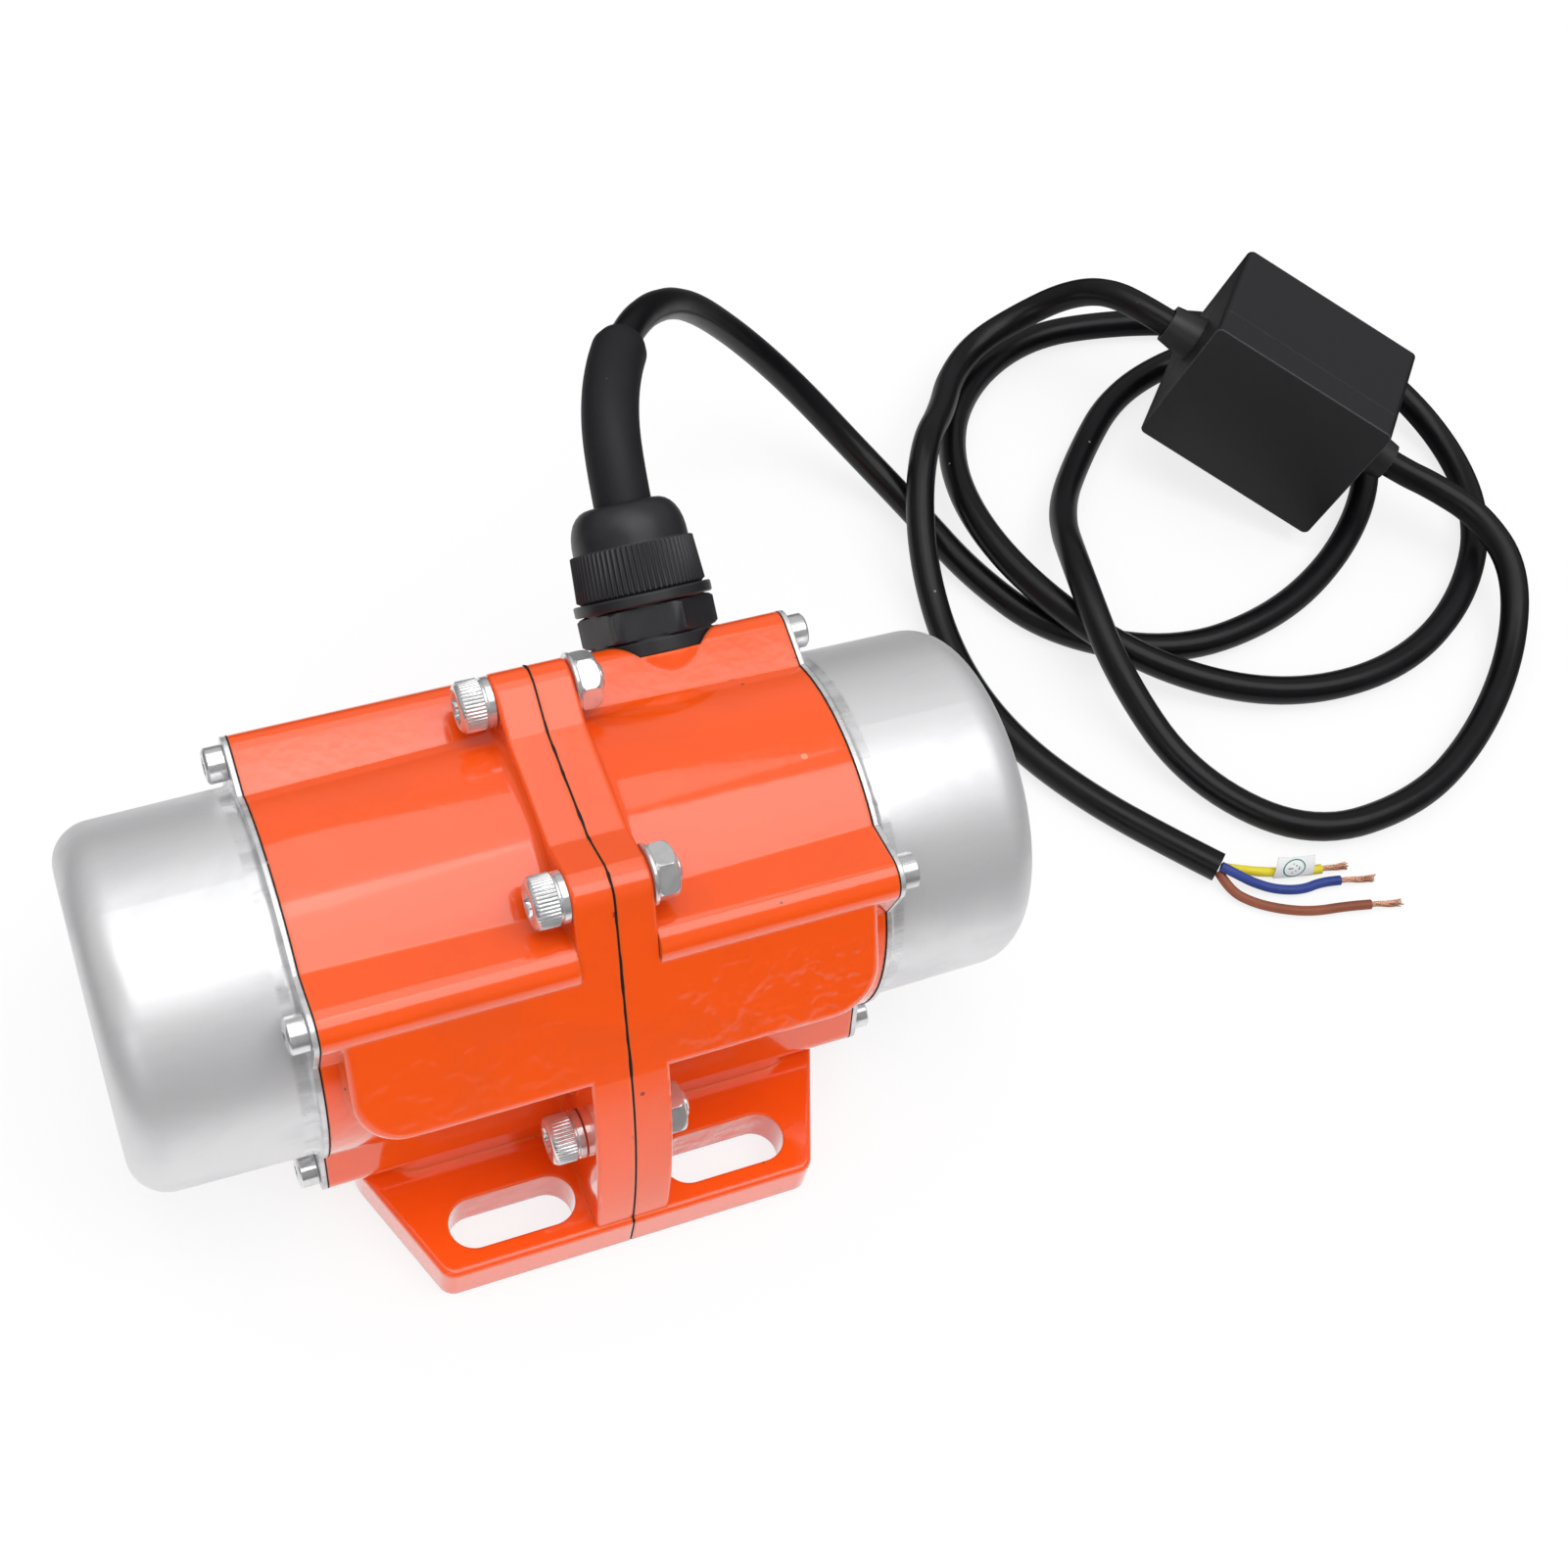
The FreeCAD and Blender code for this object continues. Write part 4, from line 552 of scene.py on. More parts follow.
def build_finishes():
    """Makes every finish and files it under the record's slot name."""
    scene = bpy.context.scene
    seal = plastic_finish("seal_rubber", (0.004, 0.003, 0.003, 1.0), 0.70, (0.012, 0.011, 0.011, 1.0),
                          0.0002, 900.0, 0.00003)
    FINISHES.update({
        "orange_enamel": enamel_finish(scene.motor_shell),
        "seal_rubber": seal,
        "satin_aluminium": cap_finish(),
        "stainless_steel": stainless_finish(scene.motor_fasteners),
        "core_steel": banded_finish("core_steel", (0.42, 0.43, 0.45, 1.0), (0.16, 0.16, 0.17, 1.0),
                                    320.0, 0.4, 1.0),
        "winding_copper": banded_finish("winding_copper", (0.62, 0.20, 0.07, 1.0),
                                        (0.24, 0.06, 0.02, 1.0), 260.0, 0.3, 0.8),
        "ring_aluminium": metal_finish("ring_aluminium", (0.72, 0.72, 0.74, 1.0), 0.42),
        "shaft_steel": metal_finish("shaft_steel", (0.60, 0.60, 0.62, 1.0), 0.22, (0.2, 1.0, 1.0)),
        "weight_iron": metal_finish("weight_iron", (0.20, 0.20, 0.21, 1.0), 0.5),
        "gland_nylon": plastic_finish("gland_nylon", (0.014, 0.014, 0.017, 1.0), 0.34,
                                      (0.10, 0.10, 0.11, 1.0), 0.0003, 1600.0, 0.000016),
        "sleeve_rubber": lead_finish("sleeve_rubber", (0.011, 0.011, 0.013, 1.0), 0.50, 0.8),
        "lead_pvc": lead_finish("lead_pvc", (0.004, 0.004, 0.005, 1.0), 0.28, 0.25),
        "box_plastic": plastic_finish("box_plastic", (0.008, 0.008, 0.010, 1.0), 0.40,
                                      (0.13, 0.13, 0.14, 1.0), 0.0007, 2200.0, 0.000012, 0.6),
        "grommet_rubber": plastic_finish("grommet_rubber", (0.014, 0.014, 0.016, 1.0), 0.4,
                                         (0.16, 0.16, 0.17, 1.0), 0.0003, 900.0, 0.00002),
        "capacitor_can": plastic_finish("capacitor_can", (0.50, 0.51, 0.53, 1.0), 0.35,
                                        (0.7, 0.7, 0.7, 1.0), 0.0004, 800.0, 0.00001),
        "core_blue": lead_finish("core_blue", (0.028, 0.050, 0.23, 1.0), 0.34, 0.15),
        "core_brown": lead_finish("core_brown", (0.24, 0.072, 0.038, 1.0), 0.36, 0.15),
        "core_earth": lead_finish("core_earth", (0.62, 0.52, 0.03, 1.0), 0.36, 0.1),
        "bare_copper": metal_finish("bare_copper", (0.90, 0.50, 0.34, 1.0), 0.22, scale=700.0),
        "tag_paper": plastic_finish("tag_paper", (0.80, 0.81, 0.82, 1.0), 0.45, (0.6, 0.6, 0.6, 1.0),
                                    0.0002, 700.0, 0.00002),
        "tag_ink": plastic_finish("tag_ink", (0.02, 0.20, 0.14, 1.0), 0.5, (0.05, 0.3, 0.22, 1.0),
                                  0.0001, 1400.0, 0.00001),
    })


def coat_nodes(nodes, slot):
    """Gives CAD nodes their finish."""
    for name in nodes:
        mesh = NODES[name].data
        mesh.materials.clear()
        mesh.materials.append(FINISHES[slot])


def coat_piece(piece, slot, body=FIXED, finish=None):
    """Gives a new piece its finish and fixes it to a body of the frame."""
    piece.data.materials.append(FINISHES[finish or slot])
    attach(piece, body)
    return piece


# ---------------------------------------------------------------- shape helpers

def axes_along(start, way, up=Vector((0.0, 0.0, 1.0))):
    """Matrix that stands local Z along a direction, from a point."""
    z = Vector(way).normalized()
    x = up.cross(z).normalized()
    y = z.cross(x)
    return Matrix.Translation(start) @ Matrix((x, y, z)).transposed().to_4x4()


def corner_of(flats):
    """Radius to the corners of a hexagon."""
    return flats / 2 / math.cos(math.pi / 6)


def hexagon(flats):
    """Radius of a hexagon at an angle."""
    def reach(angle):
        sector = (angle + math.pi / 6) % (math.pi / 3) - math.pi / 6
        return flats / 2 / math.cos(sector)
    return reach


def grooved(radius, depth, count):
    """Radius of a round with grooves at an angle."""
    def reach(angle):
        return radius - depth * (0.5 - 0.5 * math.cos(count * angle)) ** 0.6
    return reach


def within(outline, radius):
    """An outline trimmed to a radius, as a chamfer on a hexagon is."""
    return lambda angle: min(outline(angle), radius)


def around(points, number):
    """The points before and after one, or the point itself at an end."""
    return points[max(number - 1, 0)], points[min(number + 1, len(points) - 1)]


def wall_between(mesh, low, high):
    """Closed band of faces between two rings of as many corners."""
    count = len(low)
    for step in range(count):
        after = (step + 1) % count
        mesh.faces.new((low[step], low[after], high[after], high[step]))


def close_over(mesh, loops):
    """Closed skin over a row of rings, with a face on each end."""
    for low, high in zip(loops, loops[1:]):
        wall_between(mesh, low, high)
    mesh.faces.new(list(reversed(loops[0])))
    mesh.faces.new(loops[-1])


def skin_rings(mesh, rings, place, count):
    """Skins a closed form over rings, each a height and a radius or an outline."""
    loops = []
    for height, outline in rings:
        ring = []
        for step in range(count):
            angle = math.tau * step / count
            radius = outline(angle) if callable(outline) else outline
            spot = Vector((radius * math.cos(angle), radius * math.sin(angle), height))
            ring.append(mesh.verts.new(place @ spot))
        loops.append(ring)
    close_over(mesh, loops)


def placed(name, data):
    """A new object in the scene."""
    piece = bpy.data.objects.new(name, data)
    bpy.context.scene.collection.objects.link(piece)
    return piece


def finish_mesh(name, mesh, angle=35.0):
    """Turns a working mesh into a smooth-shaded piece with crisp edges."""
    bmesh.ops.recalc_face_normals(mesh, faces=mesh.faces)
    data = bpy.data.meshes.new(name)
    mesh.to_mesh(data)
    mesh.free()
    for face in data.polygons:
        face.use_smooth = True
    data.set_sharp_from_angle(angle=math.radians(angle))
    return placed(name, data)


def lead_curve(name, points, diameter):
    """A smooth lead: one open spline through its route's control points."""
    data = bpy.data.curves.new(name, "CURVE")
    data.dimensions = "3D"
    data.bevel_depth = diameter / 2
    data.bevel_resolution = 6
    data.use_fill_caps = True
    data.resolution_u = 10
    spline = data.splines.new("NURBS")
    spline.points.add(len(points) - 1)
    for spot, target in zip(points, spline.points):
        target.co = (*spot, 1.0)
    spline.order_u = 3
    spline.use_endpoint_u = True
    return placed(name, data)


def line_of(curve):
    """Points along a lead's centre line."""
    bare = curve.copy()
    bare.data = curve.data.copy()
    bare.data.bevel_depth = 0.0
    mesh = bpy.data.meshes.new_from_object(bare)
    spots = [vertex.co.copy() for vertex in mesh.vertices]
    bpy.data.meshes.remove(mesh)
    bpy.data.objects.remove(bare)
    return spots


def frames_along(spots, start, end):
    """Steady cross-section axes at the points of a line between two lengths along it."""
    found, travelled, side = [], 0.0, None
    for here, after in zip(spots, spots[1:]):
        way = (after - here).normalized()
        if side is None:
            side = way.orthogonal().normalized()
        side = (side - way * side.dot(way)).normalized()
        if start <= travelled <= end:
            found.append((travelled, here.copy(), side.copy(), way.cross(side)))
        travelled += (after - here).length
    return found


def skin_along(mesh, frames, radius_at, count):
    """Skins a tube along a line, its radius given by the length along it."""
    loops = []
    for travelled, centre, side, other in frames:
        radius = radius_at(travelled)
        loops.append([mesh.verts.new(centre + (side * math.cos(a) + other * math.sin(a)) * radius)
                      for a in (math.tau * step / count for step in range(count))])
    close_over(mesh, loops)


# ---------------------------------------------------------------- operators

class MOTOR_OT_stage(bpy.types.Operator):
    """Pale floor, soft boxes, room and camera"""

    bl_idname = "motor.stage"
    bl_label = "Stage"

    def execute(self, context):
        scene = context.scene
        settings = scene.motor_stage
        scene.view_settings.view_transform = "Standard"
        self.add_floor(scene)
        self.add_room(scene, settings)
        self.add_lamp(scene, "top_box", (-0.10, 0.28, 0.95), (0.10, 0.02, 0.03), 0.9, 0.7,
                      settings.key_power)
        self.add_lamp(scene, "front_box", (-0.75, -0.85, 0.80), (0.05, 0.0, 0.03), 0.6, 0.6,
                      settings.fill_power)
        self.add_camera(scene)
        return {"FINISHED"}

    def add_floor(self, scene):
        mesh = bmesh.new()
        bmesh.ops.create_grid(mesh, x_segments=2, y_segments=2, size=4.0)
        floor = finish_mesh("floor", mesh)
        floor.location.z = -0.0002
        material = bpy.data.materials.new("white_floor")
        material.use_nodes = True
        tree = material.node_tree
        shader = tree.nodes["Principled BSDF"]
        shader.inputs["Base Color"].default_value = (0.93, 0.93, 0.94, 1.0)
        shader.inputs["Roughness"].default_value = 0.8
        shader.inputs["Specular IOR Level"].default_value = 0.1
        glow = tree.nodes.new("ShaderNodeEmission")
        glow.inputs["Color"].default_value = (1.0, 1.0, 1.0, 1.0)
        rays = tree.nodes.new("ShaderNodeLightPath")
        seen = reckon(tree, "MAXIMUM", rays.outputs["Is Camera Ray"], rays.outputs["Is Transmission Ray"])
        away = put(tree, "ShaderNodeVectorMath", operation="LENGTH")
        join(tree, place_of(tree), away.inputs[0])
        # Painted pool of light: seen in reflections, the floor glows brightly within 0.10 m of the motor
        # and fades to nearly dark by 0.34 m; camera rays see plain white.
        near = span(tree, away.outputs["Value"], 0.34, 0.10, 0.02, 0.95)
        join(tree, reckon(tree, "MAXIMUM", seen, near), glow.inputs["Strength"])
        mixed = tree.nodes.new("ShaderNodeMixShader")
        share = reckon(tree, "MULTIPLY_ADD", seen, 0.80, rays.outputs["Is Glossy Ray"], clamp=True)
        join(tree, share, mixed.inputs[0])
        join(tree, shader.outputs[0], mixed.inputs[1])
        join(tree, glow.outputs[0], mixed.inputs[2])
        join(tree, mixed.outputs[0], tree.nodes["Material Output"].inputs["Surface"])
        floor.data.materials.append(material)

    def add_room(self, scene, settings):
        """Soft box overhead in a grey room, so that gloss has something to show."""
        world = bpy.data.worlds.new("room")
        scene.world = world
        world.use_nodes = True
        tree = world.node_tree
        back = tree.nodes["Background"]
        way = tree.nodes.new("ShaderNodeSeparateXYZ")
        join(tree, tree.nodes.new("ShaderNodeTexCoord").outputs["Generated"], way.inputs[0])
        high = reckon(tree, "MAXIMUM", way.outputs[2], 0.02)
        pane = reckon(tree, "GREATER_THAN", way.outputs[2], 0.1)
        for axis, low, top in ((0, -0.22, 0.80), (1, -0.66, 0.12)):
            slope = reckon(tree, "DIVIDE", way.outputs[axis], high)
            pane = reckon(tree, "MULTIPLY", pane, span(tree, slope, low - 0.03, low + 0.03))
            pane = reckon(tree, "MULTIPLY", pane, span(tree, slope, top + 0.02, top - 0.02))
        rays = tree.nodes.new("ShaderNodeLightPath")
        walls = reckon(tree, "MULTIPLY", span(tree, way.outputs[2], 0.0, 0.45, 0.32, 1.0),
                       span(tree, way.outputs[1], -0.55, 0.25, 0.20, 0.42))
        plain = reckon(tree, "SUBTRACT", 1.0, rays.outputs["Is Glossy Ray"])
        walls = reckon(tree, "ADD", reckon(tree, "MULTIPLY", plain, settings.sky),
                       reckon(tree, "MULTIPLY", rays.outputs["Is Glossy Ray"], walls))
        as_light = reckon(tree, "MULTIPLY_ADD", rays.outputs["Is Glossy Ray"], -0.3, 1.3)
        pane = reckon(tree, "MULTIPLY", pane, as_light)
        level = reckon(tree, "MULTIPLY_ADD", pane, settings.pane, walls)
        join(tree, reckon(tree, "MAXIMUM", level, rays.outputs["Is Camera Ray"]), back.inputs["Strength"])
        back.inputs["Color"].default_value = (1.0, 1.0, 1.0, 1.0)

    def add_lamp(self, scene, name, spot, target, width, height, power):
        data = bpy.data.lights.new(name, "AREA")
        data.shape = "RECTANGLE"
        data.size = width
        data.size_y = height
        data.energy = power
        lamp = bpy.data.objects.new(name, data)
        scene.collection.objects.link(lamp)
        lamp.location = spot
        lamp.rotation_euler = (Vector(target) - Vector(spot)).to_track_quat("-Z", "Y").to_euler()

    def add_camera(self, scene):
        data = bpy.data.cameras.new("camera")
        data.lens = 53.13
        data.sensor_width = 36.0
        data.clip_start = 0.01
        camera = bpy.data.objects.new("camera", data)
        scene.collection.objects.link(camera)
        right = Vector((0.92334117, -0.35761507, 0.1398304))
        up = Vector((0.23198942, 0.80973346, 0.53899224))
        back = Vector((-0.3059771, -0.46523456, 0.83062315))
        turn = Matrix((right, up, back)).transposed().to_4x4()
        camera.matrix_world = Matrix.Translation((-0.09316, -0.21171, 0.44279)) @ turn
        scene.camera = camera


class MOTOR_OT_leads(bpy.types.Operator):
    """Motor lead and supply lead"""

    bl_idname = "motor.leads"
    bl_label = "Leads"

    def execute(self, context):
        diameter = context.scene.motor_leads.lead
        for name, node, points in (("motor_lead", "motor_cord", MOTOR_LEAD),
                                   ("supply_lead", "supply_cord", SUPPLY_LEAD)):
            lead = lead_curve(name, points, diameter)
            coat_piece(lead, "lead_pvc")
            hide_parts(node)
        return {"FINISHED"}


class MOTOR_OT_gland(bpy.types.Operator):
    """Cable gland: hexagon, ring, ribbed nut, dome and rubber sleeve"""

    bl_idname = "motor.gland"
    bl_label = "Cable gland"

    def execute(self, context):
        settings = context.scene.motor_gland
        place = axes_along(GLAND_FOOT, GLAND_WAY, Vector((1.0, 0.0, 0.0)))
        place = place @ Matrix.Rotation(math.radians(46), 4, "Z")
        self.add_hexagon(settings, place)
        self.add_nut(settings, place)
        self.add_sleeve(settings)
        return {"FINISHED"}

    def add_hexagon(self, settings, place):
        mesh = bmesh.new()
        flat = hexagon(settings.hex_flats)
        corner = corner_of(settings.hex_flats)
        low, high = 0.0455, 0.0523
        skin_rings(mesh, [(0.0425, 0.0125), (0.0427, 0.0127), (0.0453, 0.0127), (0.0455, 0.0124)],
                   place, 96)
        rings = [(low, within(flat, settings.hex_flats / 2)),
                 (low + 0.0004, within(flat, corner - 0.0006)), (low + 0.0009, flat),
                 (high - 0.0009, flat), (high - 0.0004, within(flat, corner - 0.0006)),
                 (high, within(flat, settings.hex_flats / 2))]
        skin_rings(mesh, rings, place, 96)
        skin_rings(mesh, [(0.0523, 0.0137), (0.0526, 0.0140), (0.0543, 0.0140), (0.0546, 0.0137)],
                   place, 96)
        piece = coat_piece(finish_mesh("gland_hexagon", mesh), "gland_nylon")
        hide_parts("gland_body", "gland_ring")

    def add_nut(self, settings, place):
        mesh = bmesh.new()
        count = settings.ribs * 6
        low, shoulder, top = 0.0550, 0.0643, 0.0729
        foot, head, dome = 0.01315, 0.01255, 0.01175

        def ribbed(height):
            share = (height - low) / (shoulder - low)
            return grooved(foot + (head - foot) * share, settings.rib_depth, settings.ribs)

        rings = [(low - 0.0004, foot - 0.0008), (low, foot - 0.0004), (low + 0.0002, ribbed(low)),
                 (shoulder - 0.0002, ribbed(shoulder)), (shoulder, head - 0.0004),
                 (shoulder + 0.00005, dome)]
        for step in range(1, 9):
            share = step / 8
            rings.append((shoulder + (top - shoulder) * math.sin(share * math.pi / 2) ** 0.9,
                          dome - (dome - 0.0067) * (1 - math.cos(share * math.pi / 2)) ** 1.1))
        rings += [(top, 0.0062), (top - 0.0006, 0.0059)]
        skin_rings(mesh, rings, place, count)
        piece = coat_piece(finish_mesh("gland_cap", mesh), "gland_nylon")
        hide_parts("gland_nut")

    def add_sleeve(self, settings):
        lead = bpy.data.objects["motor_lead"]
        frames = frames_along(line_of(lead), 0.0, settings.sleeve_length)
        end, radius = frames[-1][0], settings.sleeve_radius

        def radius_at(travelled):
            return radius if travelled < end - 0.0012 else radius - 0.0006

        mesh = bmesh.new()
        skin_along(mesh, frames, radius_at, 64)
        piece = coat_piece(finish_mesh("rubber_sleeve", mesh), "sleeve_rubber")
        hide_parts("cable_sleeve")


class MOTOR_OT_wires(bpy.types.Operator):
    """Blue, brown and earth cores with their bare strands and the film tag"""

    bl_idname = "motor.wires"
    bl_label = "Wire ends"

    def execute(self, context):
        settings = context.scene.motor_leads
        for name, points, bare in (("blue", BLUE_CORE, 0.0100), ("brown", BROWN_CORE, 0.0090),
                                   ("earth", EARTH_CORE, 0.0080)):
            core = lead_curve("wire_" + name, points, settings.core)
            coat_piece(core, "core_" + name)
            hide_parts("core_" + name)
            self.add_strands(settings, name, points, bare)
        self.add_tag()
        return {"FINISHED"}

    def on_tag(self, across, up, lift=0.0):
        """A point on the folded tag, from its lower near corner, both ways 0 to 1."""
        low = TAG_CORNERS[0].lerp(TAG_CORNERS[1], across)
        high = TAG_CORNERS[3].lerp(TAG_CORNERS[2], across)
        spot = low.lerp(high, up)
        curl = 0.0006 * math.sin(math.pi * across) + 0.0005 * math.sin(math.pi * up)
        return spot + Vector((-0.25, -0.75, 0.6)) * (curl + lift)

    def add_tag(self):
        """Clear film tag with the plain earth sign on it."""
        mesh = bmesh.new()
        rows = [[[mesh.verts.new(self.on_tag(i / 12, j / 8, lift)) for i in range(13)]
                 for j in range(9)] for lift in (0.0, TAG_THICK)]
        for sheet in rows:
            for low, high in zip(sheet, sheet[1:]):
                for i in range(12):
                    mesh.faces.new((low[i], low[i + 1], high[i + 1], high[i]))
        wall_between(mesh, *[self.rim_of(sheet) for sheet in rows])
        tag = coat_piece(finish_mesh("film_tag", mesh), "tag_paper")
        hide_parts("earth_tag")

        ink = bmesh.new()
        turns = [math.tau * step / 40 for step in range(41)]
        self.add_line(ink, [(0.46 + 0.27 * math.cos(a), 0.48 + 0.42 * math.sin(a)) for a in turns])
        self.add_line(ink, [(0.30, 0.48), (0.42, 0.48)])
        for place, reach in ((0.42, 0.24), (0.50, 0.17), (0.58, 0.09)):
            self.add_line(ink, [(place, 0.48 - reach), (place, 0.48 + reach)])
        coat_piece(finish_mesh("earth_sign", ink), "tag_paper", finish="tag_ink")

    def rim_of(self, sheet):
        """Corner points round a sheet of rows, in order."""
        return (sheet[0] + [row[-1] for row in sheet[1:]] + sheet[-1][-2::-1]
                + [row[0] for row in sheet[-2:0:-1]])

    def add_line(self, mesh, points):
        """A stroke of ink on the tag."""
        sides = []
        for number, (across, up) in enumerate(points):
            before, after = around(points, number)
            way = Vector(((after[0] - before[0]) * 1.6, after[1] - before[1])).normalized()
            step_x, step_y = -way.y * 0.016, way.x * 0.026
            sides.append([
                mesh.verts.new(self.on_tag(across + step_x * side, up + step_y * side, INK_LIFT))
                for side in (-1, 1)])
        for low, high in zip(sides, sides[1:]):
            mesh.faces.new((low[0], low[1], high[1], high[0]))

    def add_strands(self, settings, name, points, bare):
        """A loosely twisted bundle that opens a little at its end."""
        chance = random.Random(name)
        end = Vector(points[-1])
        way = end - Vector(points[-2])
        way.z = 0.0
        way.normalize()
        across = Vector((-way.y, way.x, 0.0))
        data = bpy.data.curves.new("strands_" + name, "CURVE")
        data.dimensions = "3D"
        data.bevel_depth = settings.strand / 2
        data.bevel_resolution = 2
        data.use_fill_caps = True
        for number in range(settings.strands):
            angle = math.tau * number * 0.382
            reach = 0.00058 * math.sqrt((number + 0.5) / settings.strands)
            spline = data.splines.new("NURBS")
            spline.points.add(5)
            long = bare * chance.uniform(0.86, 0.99)
            for step, target in enumerate(spline.points):
                share = step / 5
                turn = angle + share * 2.2
                spread = reach * (1 + 0.5 * share * share) + chance.uniform(0, 0.00008)
                spot = end + way * (long * share - 0.0006) + across * (spread * math.cos(turn))
                spot.z = max(settings.strand / 2, end.z + spread * math.sin(turn) - 0.0004 * share)
                target.co = (*spot, 1.0)
            spline.order_u = 3
            spline.use_endpoint_u = True
        piece = coat_piece(placed("strands_" + name, data), "bare_copper")
        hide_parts("copper_" + name)


class MOTOR_OT_housing(bpy.types.Operator):
    """Painted housing halves and the seal between them"""

    bl_idname = "motor.housing"
    bl_label = "Housing"

    def execute(self, context):
        coat_nodes(["housing_left", "housing_right"], "orange_enamel")
        coat_nodes(["housing_seal"], "seal_rubber")
        return {"FINISHED"}


class MOTOR_OT_seam(bpy.types.Operator):
    """Uneven bead of sealant squeezed out along the joint of the halves"""

    bl_idname = "motor.seam"
    bl_label = "Joint bead"

    def execute(self, context):
        path = self.half_path()
        path += [(-y, z) for y, z in reversed(path)]
        mesh = bmesh.new()
        self.skin(mesh, path)
        coat_piece(finish_mesh("joint_bead", mesh, 60.0), "seal_rubber")
        return {"FINISHED"}

    def half_path(self):
        """Right half of the flange outline, from the floor up to the middle of the crown."""
        path = [(FOOT_FRONT, SKIRT_FOOT[1] + 0.0003 + 0.0009 * step) for step in range(11)]
        foot, shoulder = Vector(SKIRT_FOOT), Vector(SHOULDER)
        run = shoulder - foot
        out = Vector((run.y, -run.x)).normalized()
        deep = math.sqrt(SKIRT_RADIUS ** 2 - (run.length / 2) ** 2)
        for step in range(61):
            share = step / 60
            sag = math.sqrt(SKIRT_RADIUS ** 2 - (run.length * (share - 0.5)) ** 2) - deep
            spot = foot + run * share - out * sag
            if spot.y > FOOT_TOP + 0.0004:
                path.append(tuple(spot))
        corner, rise, dip = Vector(CROWN_CORNER), Vector(CROWN_RISE), Vector(CROWN_DIP)
        before, after = (shoulder - corner).normalized(), (rise - corner).normalized()
        reach = CROWN_ROUND * math.tan((math.pi - before.angle(after)) / 2)
        first, last = corner + before * reach, corner + after * reach
        path += [tuple(shoulder.lerp(first, step / 40)) for step in range(1, 40)]
        for step in range(13):
            share = step / 12
            path.append(tuple(first.lerp(corner, share).lerp(corner.lerp(last, share), share)))
        path += [tuple(last.lerp(dip, step / 12)) for step in range(1, 12)]
        path += [(dip.x * (1 - step / 20), dip.y) for step in range(20)]
        return path

    def skin(self, mesh, path):
        chance = random.Random(11)
        knots = [(chance.uniform(0.00012, 0.00034), chance.uniform(-0.00008, 0.00008))
                 for _ in range(len(path) // 3 + 2)]
        loops = []
        for number, (y, z) in enumerate(path):
            here, along = number // 3, number % 3 / 3
            half = knots[here][0] * (1 - along) + knots[here + 1][0] * along
            shift = knots[here][1] * (1 - along) + knots[here + 1][1] * along
            before, after = around(path, number)
            way = Vector((after[0] - before[0], after[1] - before[1])).normalized()
            out = Vector((way.y, -way.x))
            section = ((-half, -0.0005), (-half, 0.00002), (-half * 0.5, 0.00011),
                       (half * 0.5, 0.00011), (half, 0.00002), (half, -0.0005))
            loops.append([mesh.verts.new((shift + across, y + out.x * lift,
                                          SHAFT_HEIGHT + z + out.y * lift))
                          for across, lift in section])
        for low, high in zip(loops, loops[1:]):
            wall_between(mesh, low, high)
        mesh.faces.new(loops[0])
        mesh.faces.new(list(reversed(loops[-1])))


class MOTOR_OT_caps(bpy.types.Operator):
    """Drawn end caps and their gaskets"""

    bl_idname = "motor.caps"
    bl_label = "End caps"

    def execute(self, context):
        coat_nodes(["end_cap_left", "end_cap_right"], "satin_aluminium")
        coat_nodes(["cap_gasket_left", "cap_gasket_right"], "seal_rubber")
        return {"FINISHED"}


class MOTOR_OT_cap_screws(bpy.types.Operator):
    """Socket head screws of the end caps"""

    bl_idname = "motor.cap_screws"
    bl_label = "Cap screws"

    def execute(self, context):
        settings = context.scene.motor_fasteners
        for side, way in (("left", -1.0), ("right", 1.0)):
            mesh = bmesh.new()
            low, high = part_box("cap_screws_" + side)
            seat = CAP_SCREW_SEAT * way
            pitch_y = (high.y - low.y) / 2 - settings.cap_head
            for across in (-1, 1):
                for lift in (-1, 1):
                    spot = Vector((seat, pitch_y * across, SHAFT_HEIGHT + pitch_y * lift))
                    self.add_screw(mesh, settings, axes_along(spot, ALONG_SHAFT * way))
            piece = coat_piece(finish_mesh("socket_screws_" + side, mesh), "stainless_steel")
            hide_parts("cap_screws_" + side)
        return {"FINISHED"}

    def add_screw(self, mesh, settings, place):
        radius, height = settings.cap_head, CAP_HEAD_HEIGHT
        key = hexagon(settings.cap_socket)
        mouth = corner_of(settings.cap_socket) + 0.0001
        rings = [(0.0, radius - 0.0003), (0.00025, radius), (height - 0.0006, radius),
                 (height - 0.0002, radius - 0.00035), (height, radius - 0.0009), (height, mouth),
                 (height - 0.0003, key), (height - 0.0022, key), (height - 0.0026, 0.0002)]
        skin_rings(mesh, rings, place, 96)


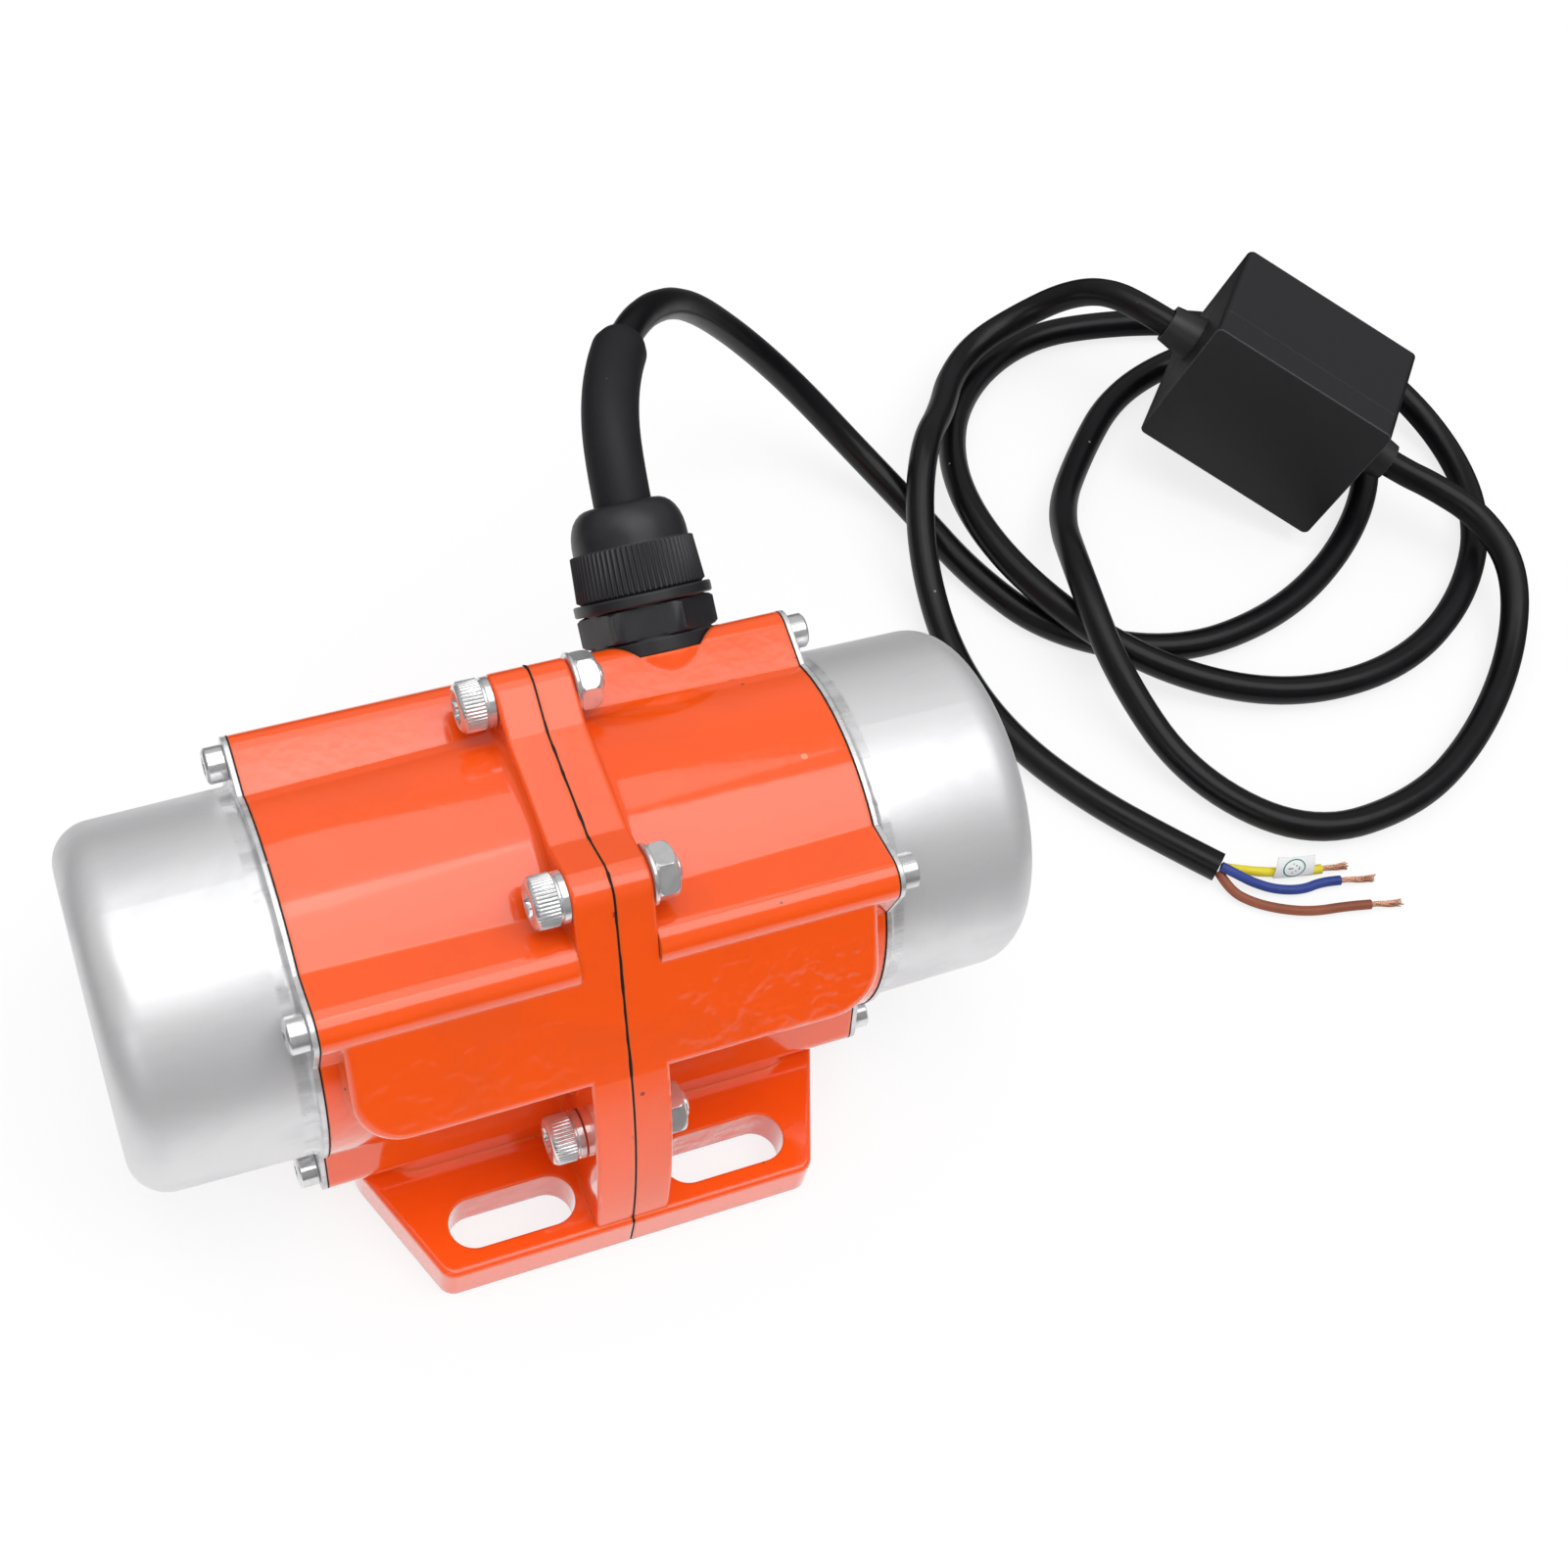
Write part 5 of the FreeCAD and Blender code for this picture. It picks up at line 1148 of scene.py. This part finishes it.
class MOTOR_OT_flange_bolts(bpy.types.Operator):
    """Knurled bolts and collar nuts through the flange"""

    bl_idname = "motor.flange_bolts"
    bl_label = "Flange bolts"

    def execute(self, context):
        settings = context.scene.motor_fasteners
        bolts, nuts = bmesh.new(), bmesh.new()
        face = FLANGE_FACE
        for across in (-1, 1):
            for row_y, row_z in BOLT_ROWS:
                centre = Vector((0.0, row_y * across, SHAFT_HEIGHT + row_z))
                turn = Matrix.Rotation(math.radians(17 * across + row_z * 900), 4, "Z")
                left = axes_along(centre - ALONG_SHAFT * face, -ALONG_SHAFT) @ turn
                right = axes_along(centre + ALONG_SHAFT * face, ALONG_SHAFT) @ turn
                self.add_head(bolts, settings, left)
                self.add_nut(nuts, settings, right)
        piece = coat_piece(finish_mesh("knurled_bolts", bolts, 50.0), "stainless_steel")
        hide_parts("flange_bolts")
        piece = coat_piece(finish_mesh("collar_nuts", nuts), "stainless_steel")
        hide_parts("flange_nuts")
        return {"FINISHED"}

    def add_head(self, mesh, settings, place):
        radius, height = settings.bolt_head, BOLT_HEAD_HEIGHT
        knurl = grooved(radius, 0.00024, settings.knurls)
        key = hexagon(settings.bolt_socket)
        mouth = corner_of(settings.bolt_socket) + 0.0001
        rings = [(0.0, radius - 0.0006), (0.0002, radius - 0.0001), (0.0014, radius - 0.0001),
                 (0.0016, radius - 0.0005), (0.0019, radius - 0.0005), (0.0021, knurl),
                 (height - 0.0010, knurl), (height - 0.0008, radius - 0.00025),
                 (height - 0.0003, radius - 0.0005), (height, radius - 0.0011), (height, mouth),
                 (height - 0.0004, key), (height - 0.0032, key), (height - 0.0039, 0.0002)]
        skin_rings(mesh, rings, place, settings.knurls * 6)

    def add_nut(self, mesh, settings, place):
        flat = hexagon(settings.nut_flats)
        corner = corner_of(settings.nut_flats)
        height = NUT_HEIGHT
        rings = [(0.0, 0.0057), (0.0002, 0.0059), (0.0007, 0.0059), (0.0010, 0.0055)]
        rings += [(0.0011 + 0.00012 * step, within(flat, corner - 0.0004 + 0.0001 * step))
                  for step in range(5)]
        for step in range(9):
            share = step / 8
            rings.append((height - 0.0021 + 0.0019 * math.sin(share * math.pi / 2),
                          within(flat, corner - 0.0013 * (1 - math.cos(share * math.pi / 2)))))
        rings += [(height - 0.0001, 0.0044), (height, 0.0038), (height - 0.0004, 0.0032),
                  (height - 0.0004, 0.0030), (height + 0.0005, 0.0029), (height + 0.0009, 0.0025)]
        skin_rings(mesh, rings, place, 144)


class MOTOR_OT_box(bpy.types.Operator):
    """Capacitor box, its lid, strain reliefs and the capacitor"""

    bl_idname = "motor.box"
    bl_label = "Capacitor box"

    def execute(self, context):
        coat_nodes(["box_shell", "box_lid"], "box_plastic")
        coat_nodes(["grommet_left", "grommet_right"], "grommet_rubber")
        coat_nodes(["capacitor"], "capacitor_can")
        turn = Euler([math.radians(angle) for angle in BOX_LEAN], "XYZ").to_matrix().to_4x4()
        self.add_joint(Matrix.Translation(BOX_CORNER) @ turn)
        return {"FINISHED"}

    def add_joint(self, place):
        """Painted shadow line: a thin dark ring, in the black seal finish, standing just proud where the
        lid meets the shell.
        """
        long, _, tall = BOX_SIZE
        mesh = bmesh.new()
        radius, proud = 0.0016, 0.00003
        outline = []
        for cx, cz, start in ((long - radius, tall - radius, 0), (radius, tall - radius, 90),
                              (radius, radius, 180), (long - radius, radius, 270)):
            for step in range(7):
                angle = math.radians(start + 15 * step)
                outline.append((cx + (radius + proud) * math.cos(angle),
                                cz + (radius + proud) * math.sin(angle)))
        loops = []
        for depth in (LID_DEPTH - 0.00012, LID_DEPTH + 0.00012):
            loops.append([mesh.verts.new(place @ Vector((x, depth, z))) for x, z in outline])
        wall_between(mesh, *loops)
        coat_piece(finish_mesh("lid_joint", mesh), "seal_rubber")


class MOTOR_OT_inner_parts(bpy.types.Operator):
    """Stator, winding, rotor, bearings and unbalance weights"""

    bl_idname = "motor.inner_parts"
    bl_label = "Inner parts"

    def execute(self, context):
        both = ("left", "right")
        coat_nodes(["stator_core", "rotor_core"], "core_steel")
        coat_nodes(["winding_" + side for side in both], "winding_copper")
        coat_nodes(["rotor_ring_" + side for side in both], "ring_aluminium")
        for stem in ("bearing_outer_", "bearing_inner_", "circlip_", "spacer_", "washer_", "shaft_nut_"):
            coat_nodes([stem + side for side in both], "shaft_steel")
        coat_nodes(["shaft"], "shaft_steel")
        for stem in ("fixed_weight_", "adjustable_weight_"):
            coat_nodes([stem + side for side in both], "weight_iron")
        for stem in ("fixed_screw_", "adjustable_screw_"):
            coat_nodes([stem + side for side in both], "stainless_steel")
        return {"FINISHED"}


class MOTOR_OT_declare_leads(bpy.types.Operator):
    """Takes no step: the leads and cores are left as they are."""

    bl_idname = "motor.declare_leads"
    bl_label = "Lead lengths"

    def execute(self, context):
        return {"FINISHED"}


class MOTOR_PT_sidebar(bpy.types.Panel):
    """Lists the pieces and their sizes"""

    bl_label = "Vibration motor"
    bl_idname = "MOTOR_PT_sidebar"
    bl_space_type = "VIEW_3D"
    bl_region_type = "UI"
    bl_category = "Vibration motor"

    def draw(self, context):
        layout = self.layout
        for operator in OPERATORS:
            layout.operator(operator.bl_idname)
        for name, group in SETTINGS.items():
            box = layout.box()
            box.label(text=group.__doc__)
            for entry in group.__annotations__:
                box.prop(getattr(context.scene, name), entry)


OPERATORS = (
    MOTOR_OT_stage, MOTOR_OT_leads, MOTOR_OT_gland, MOTOR_OT_wires, MOTOR_OT_housing,
    MOTOR_OT_seam, MOTOR_OT_caps, MOTOR_OT_cap_screws, MOTOR_OT_flange_bolts, MOTOR_OT_box,
    MOTOR_OT_inner_parts, MOTOR_OT_declare_leads,
)


def register():
    for group in SETTINGS.values():
        bpy.utils.register_class(group)
    for item in OPERATORS + (MOTOR_PT_sidebar,):
        bpy.utils.register_class(item)
    for name, group in SETTINGS.items():
        setattr(bpy.types.Scene, name, bpy.props.PointerProperty(type=group))


def unregister():
    for name in SETTINGS:
        delattr(bpy.types.Scene, name)
    for item in reversed(OPERATORS + (MOTOR_PT_sidebar,)):
        bpy.utils.unregister_class(item)
    for group in SETTINGS.values():
        bpy.utils.unregister_class(group)


def main():
    register()
    build_effects()
    build_finishes()
    for operator in OPERATORS:
        getattr(bpy.ops.motor, operator.bl_idname.split(".")[1])()


if __name__ == "__main__":
    main()
